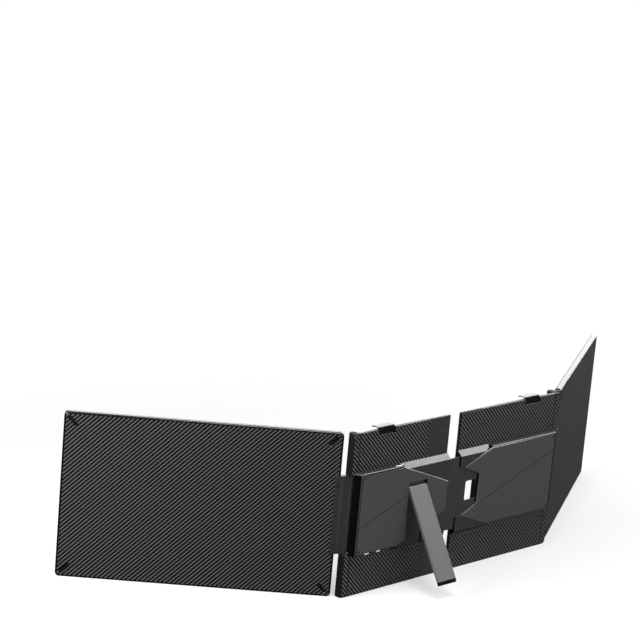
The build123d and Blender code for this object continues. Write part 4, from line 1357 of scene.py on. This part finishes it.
@dataclass
class Studio:
    """The pale floor, the lamps, the surroundings and the camera."""

    target: Vector
    eye: Vector = Vector((2.03995, 1.82045, 0.9894))
    yaw: float = -45.988            # degrees from -Y towards -X
    pitch: float = 13.777           # degrees down
    roll: float = 4.996             # degrees
    sensor: float = 36.0            # millimetres
    lens: float = 135.09            # millimetres
    floor_size: float = 12.0
    shadow_core: float = 0.48       # out to here the floor keeps its shadow
    shadow_reach: float = 0.8       # and beyond here it shows plain white
    floor_paint: str = "#bebebe"
    paleness: float = 0.4           # how much the floor near the object shows as plain white
    fill: float = 0.2               # strength of the surroundings' own light
    mirrored: float = 0.05          # how bright the floor and the surroundings look in the object's gloss
    lamps: tuple[Lamp, ...] = (
        Lamp("front_softbox", (-0.35, 2.05, 1.15), (2.2, 1.8), 32.0),
        Lamp("outer_softbox", (0.95, -0.25, 0.6), (0.5, 0.5), 18.0),
        Lamp("slope_softbox", (-1.4, 0.42, 1.35), (0.75, 0.75), 21.0, shadow=False),
        Lamp("low_back_softbox", (-1.75, -1.45, 0.72), (2.4, 1.3), 38.0),
        Lamp("top_softbox", (0.35, 0.45, 2.1), (0.8, 0.8), 34.0),
        Lamp("edge_softbox", (-2.1, -0.05, 0.44), (0.6, 0.5), 16.0, shadow=False),
    )
    cards: tuple[Card, ...] = (
        Card((0.035, 0.32), (0.09, 0.12), 1.2),
    )

    def floor(self) -> None:
        """A plain white floor that keeps the object's shadow and shows white to the camera further out."""
        deselect()
        bpy.ops.mesh.primitive_plane_add(size=self.floor_size, location=(0.0, 0.0, 0.0))
        floor = bpy.context.object
        floor.name = "studio_floor"
        fix_place(floor)
        material = bpy.data.materials.new("painted_studio_floor")
        material.use_nodes = True
        tree = material.node_tree
        tree.nodes.clear()
        path = add_node(tree, "ShaderNodeLightPath")
        spot = add_node(tree, "ShaderNodeTexCoord").outputs["Object"]
        away = add_node(tree, "ShaderNodeVectorMath", {0: spot, 1: self.target * Vector((1.0, 1.0, 0.0))},
                        operation="DISTANCE").outputs["Value"]
        far = add_node(tree, "ShaderNodeMapRange", {
            "Value": away, "From Min": self.shadow_core, "From Max": self.shadow_reach,
            "To Min": self.paleness}, interpolation_type="SMOOTHSTEP").outputs[0]
        far_view = add_node(tree, "ShaderNodeMath", {0: far, 1: path.outputs["Is Camera Ray"]},
                            operation="MULTIPLY").outputs[0]
        paint = add_node(tree, "ShaderNodeBsdfDiffuse", {"Color": linear(self.floor_paint)})
        white = add_node(tree, "ShaderNodeEmission", {"Color": linear(WHITE)})
        dim = add_node(tree, "ShaderNodeEmission", {
            "Color": linear(WHITE), "Strength": self.gloss(tree, spot)})
        seen = add_node(tree, "ShaderNodeMixShader", {0: far_view, 1: paint.outputs[0], 2: white.outputs[0]})
        shown = add_node(tree, "ShaderNodeMixShader", {
            0: path.outputs["Is Glossy Ray"], 1: seen.outputs[0], 2: dim.outputs[0]})
        add_node(tree, "ShaderNodeOutputMaterial", {"Surface": shown.outputs[0]})
        floor.data.materials.append(material)
        floor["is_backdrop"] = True

    def gloss(self, tree: Tree, spot: Socket) -> Socket | float:
        """How bright the floor looks in the object's gloss: dim, but for the cards.

        Args:
            tree: The floor material's node tree.
            spot: The socket of the place on the floor.

        Returns:
            The socket of the brightness, or the plain value where there is no card.
        """
        parts = add_node(tree, "ShaderNodeSeparateXYZ", {0: spot})
        bright = self.mirrored
        for card in self.cards:
            inside = [add_node(tree, "ShaderNodeMath", {
                0: parts.outputs[axis], 1: card.middle[axis], 2: card.half_size[axis]},
                operation="COMPARE").outputs[0] for axis in range(2)]
            on_card = add_node(tree, "ShaderNodeMath", {0: inside[0], 1: inside[1]}, operation="MULTIPLY")
            bright = add_node(tree, "ShaderNodeMath", {0: on_card.outputs[0], 1: card.brightness, 2: bright},
                              operation="MULTIPLY_ADD").outputs[0]
        return bright

    def surroundings(self) -> None:
        """White surroundings to the camera, a plain soft light to everything else."""
        world = bpy.data.worlds.new("studio_surroundings")
        bpy.context.scene.world = world
        world.use_nodes = True
        tree = world.node_tree
        tree.nodes.clear()
        path = add_node(tree, "ShaderNodeLightPath")
        soft, dim, white = [
            add_node(tree, "ShaderNodeBackground", {"Color": linear(WHITE), "Strength": strength})
            for strength in (self.fill, self.mirrored, 1.0)]
        unseen = add_node(tree, "ShaderNodeMixShader", {
            0: path.outputs["Is Glossy Ray"], 1: soft.outputs[0], 2: dim.outputs[0]})
        shown = add_node(tree, "ShaderNodeMixShader", {
            0: path.outputs["Is Camera Ray"], 1: unseen.outputs[0], 2: white.outputs[0]})
        add_node(tree, "ShaderNodeOutputWorld", {"Surface": shown.outputs[0]})

    def light(self) -> None:
        """Hang the soft boxes, which the camera doesn't see."""
        for lamp in self.lamps:
            data = bpy.data.lights.new(lamp.name, "AREA")
            data.shape = "RECTANGLE"
            data.size, data.size_y = lamp.size
            data.energy = lamp.power
            data.use_shadow = lamp.shadow
            box = bpy.data.objects.new(lamp.name, data)
            bpy.context.scene.collection.objects.link(box)
            box.location = lamp.place
            box.rotation_euler = (self.target - Vector(lamp.place)).to_track_quat("-Z", "Y").to_euler()
            box.visible_camera = False

    def camera(self) -> None:
        """Stand the camera where its view shows the hub's side from the kickstand's end."""
        yaw, pitch, roll = (math.radians(a) for a in (self.yaw, self.pitch, self.roll))
        reach = math.cos(pitch)
        forward = Vector((math.sin(yaw) * reach, -math.cos(yaw) * reach, -math.sin(pitch)))
        level_right = Vector((-math.cos(yaw), -math.sin(yaw), 0.0))
        level_up = level_right.cross(forward)
        right = level_right * math.cos(roll) + level_up * math.sin(roll)
        up = level_up * math.cos(roll) - level_right * math.sin(roll)
        data = bpy.data.cameras.new("camera")
        data.sensor_width = self.sensor
        data.lens = self.lens
        camera = bpy.data.objects.new("camera", data)
        bpy.context.scene.collection.objects.link(camera)
        gaze = Matrix((right, up, -forward)).transposed().to_4x4()
        camera.matrix_world = Matrix.Translation(self.eye) @ gaze
        bpy.context.scene.camera = camera

    def build(self) -> None:
        """Set up the studio."""
        for step in (self.floor, self.surroundings, self.light, self.camera):
            step()
        bpy.context.scene.view_settings.view_transform = "Standard"


def main() -> None:
    """Build every sub-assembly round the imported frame, then the studio."""
    logging.basicConfig(level=logging.INFO, format="%(message)s")
    packed = Packed()
    cad_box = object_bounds()
    shop = Workshop(packed)
    for side in Side:
        SideScreen(side, packed, shop).build()
        FrameHalf(side, packed, shop).build()
    Hub(packed, shop).build()
    Kickstand(packed, shop).build()
    Studio(target=(cad_box[0] + cad_box[1]) / 2).build()


if __name__ == "__main__":
    main()
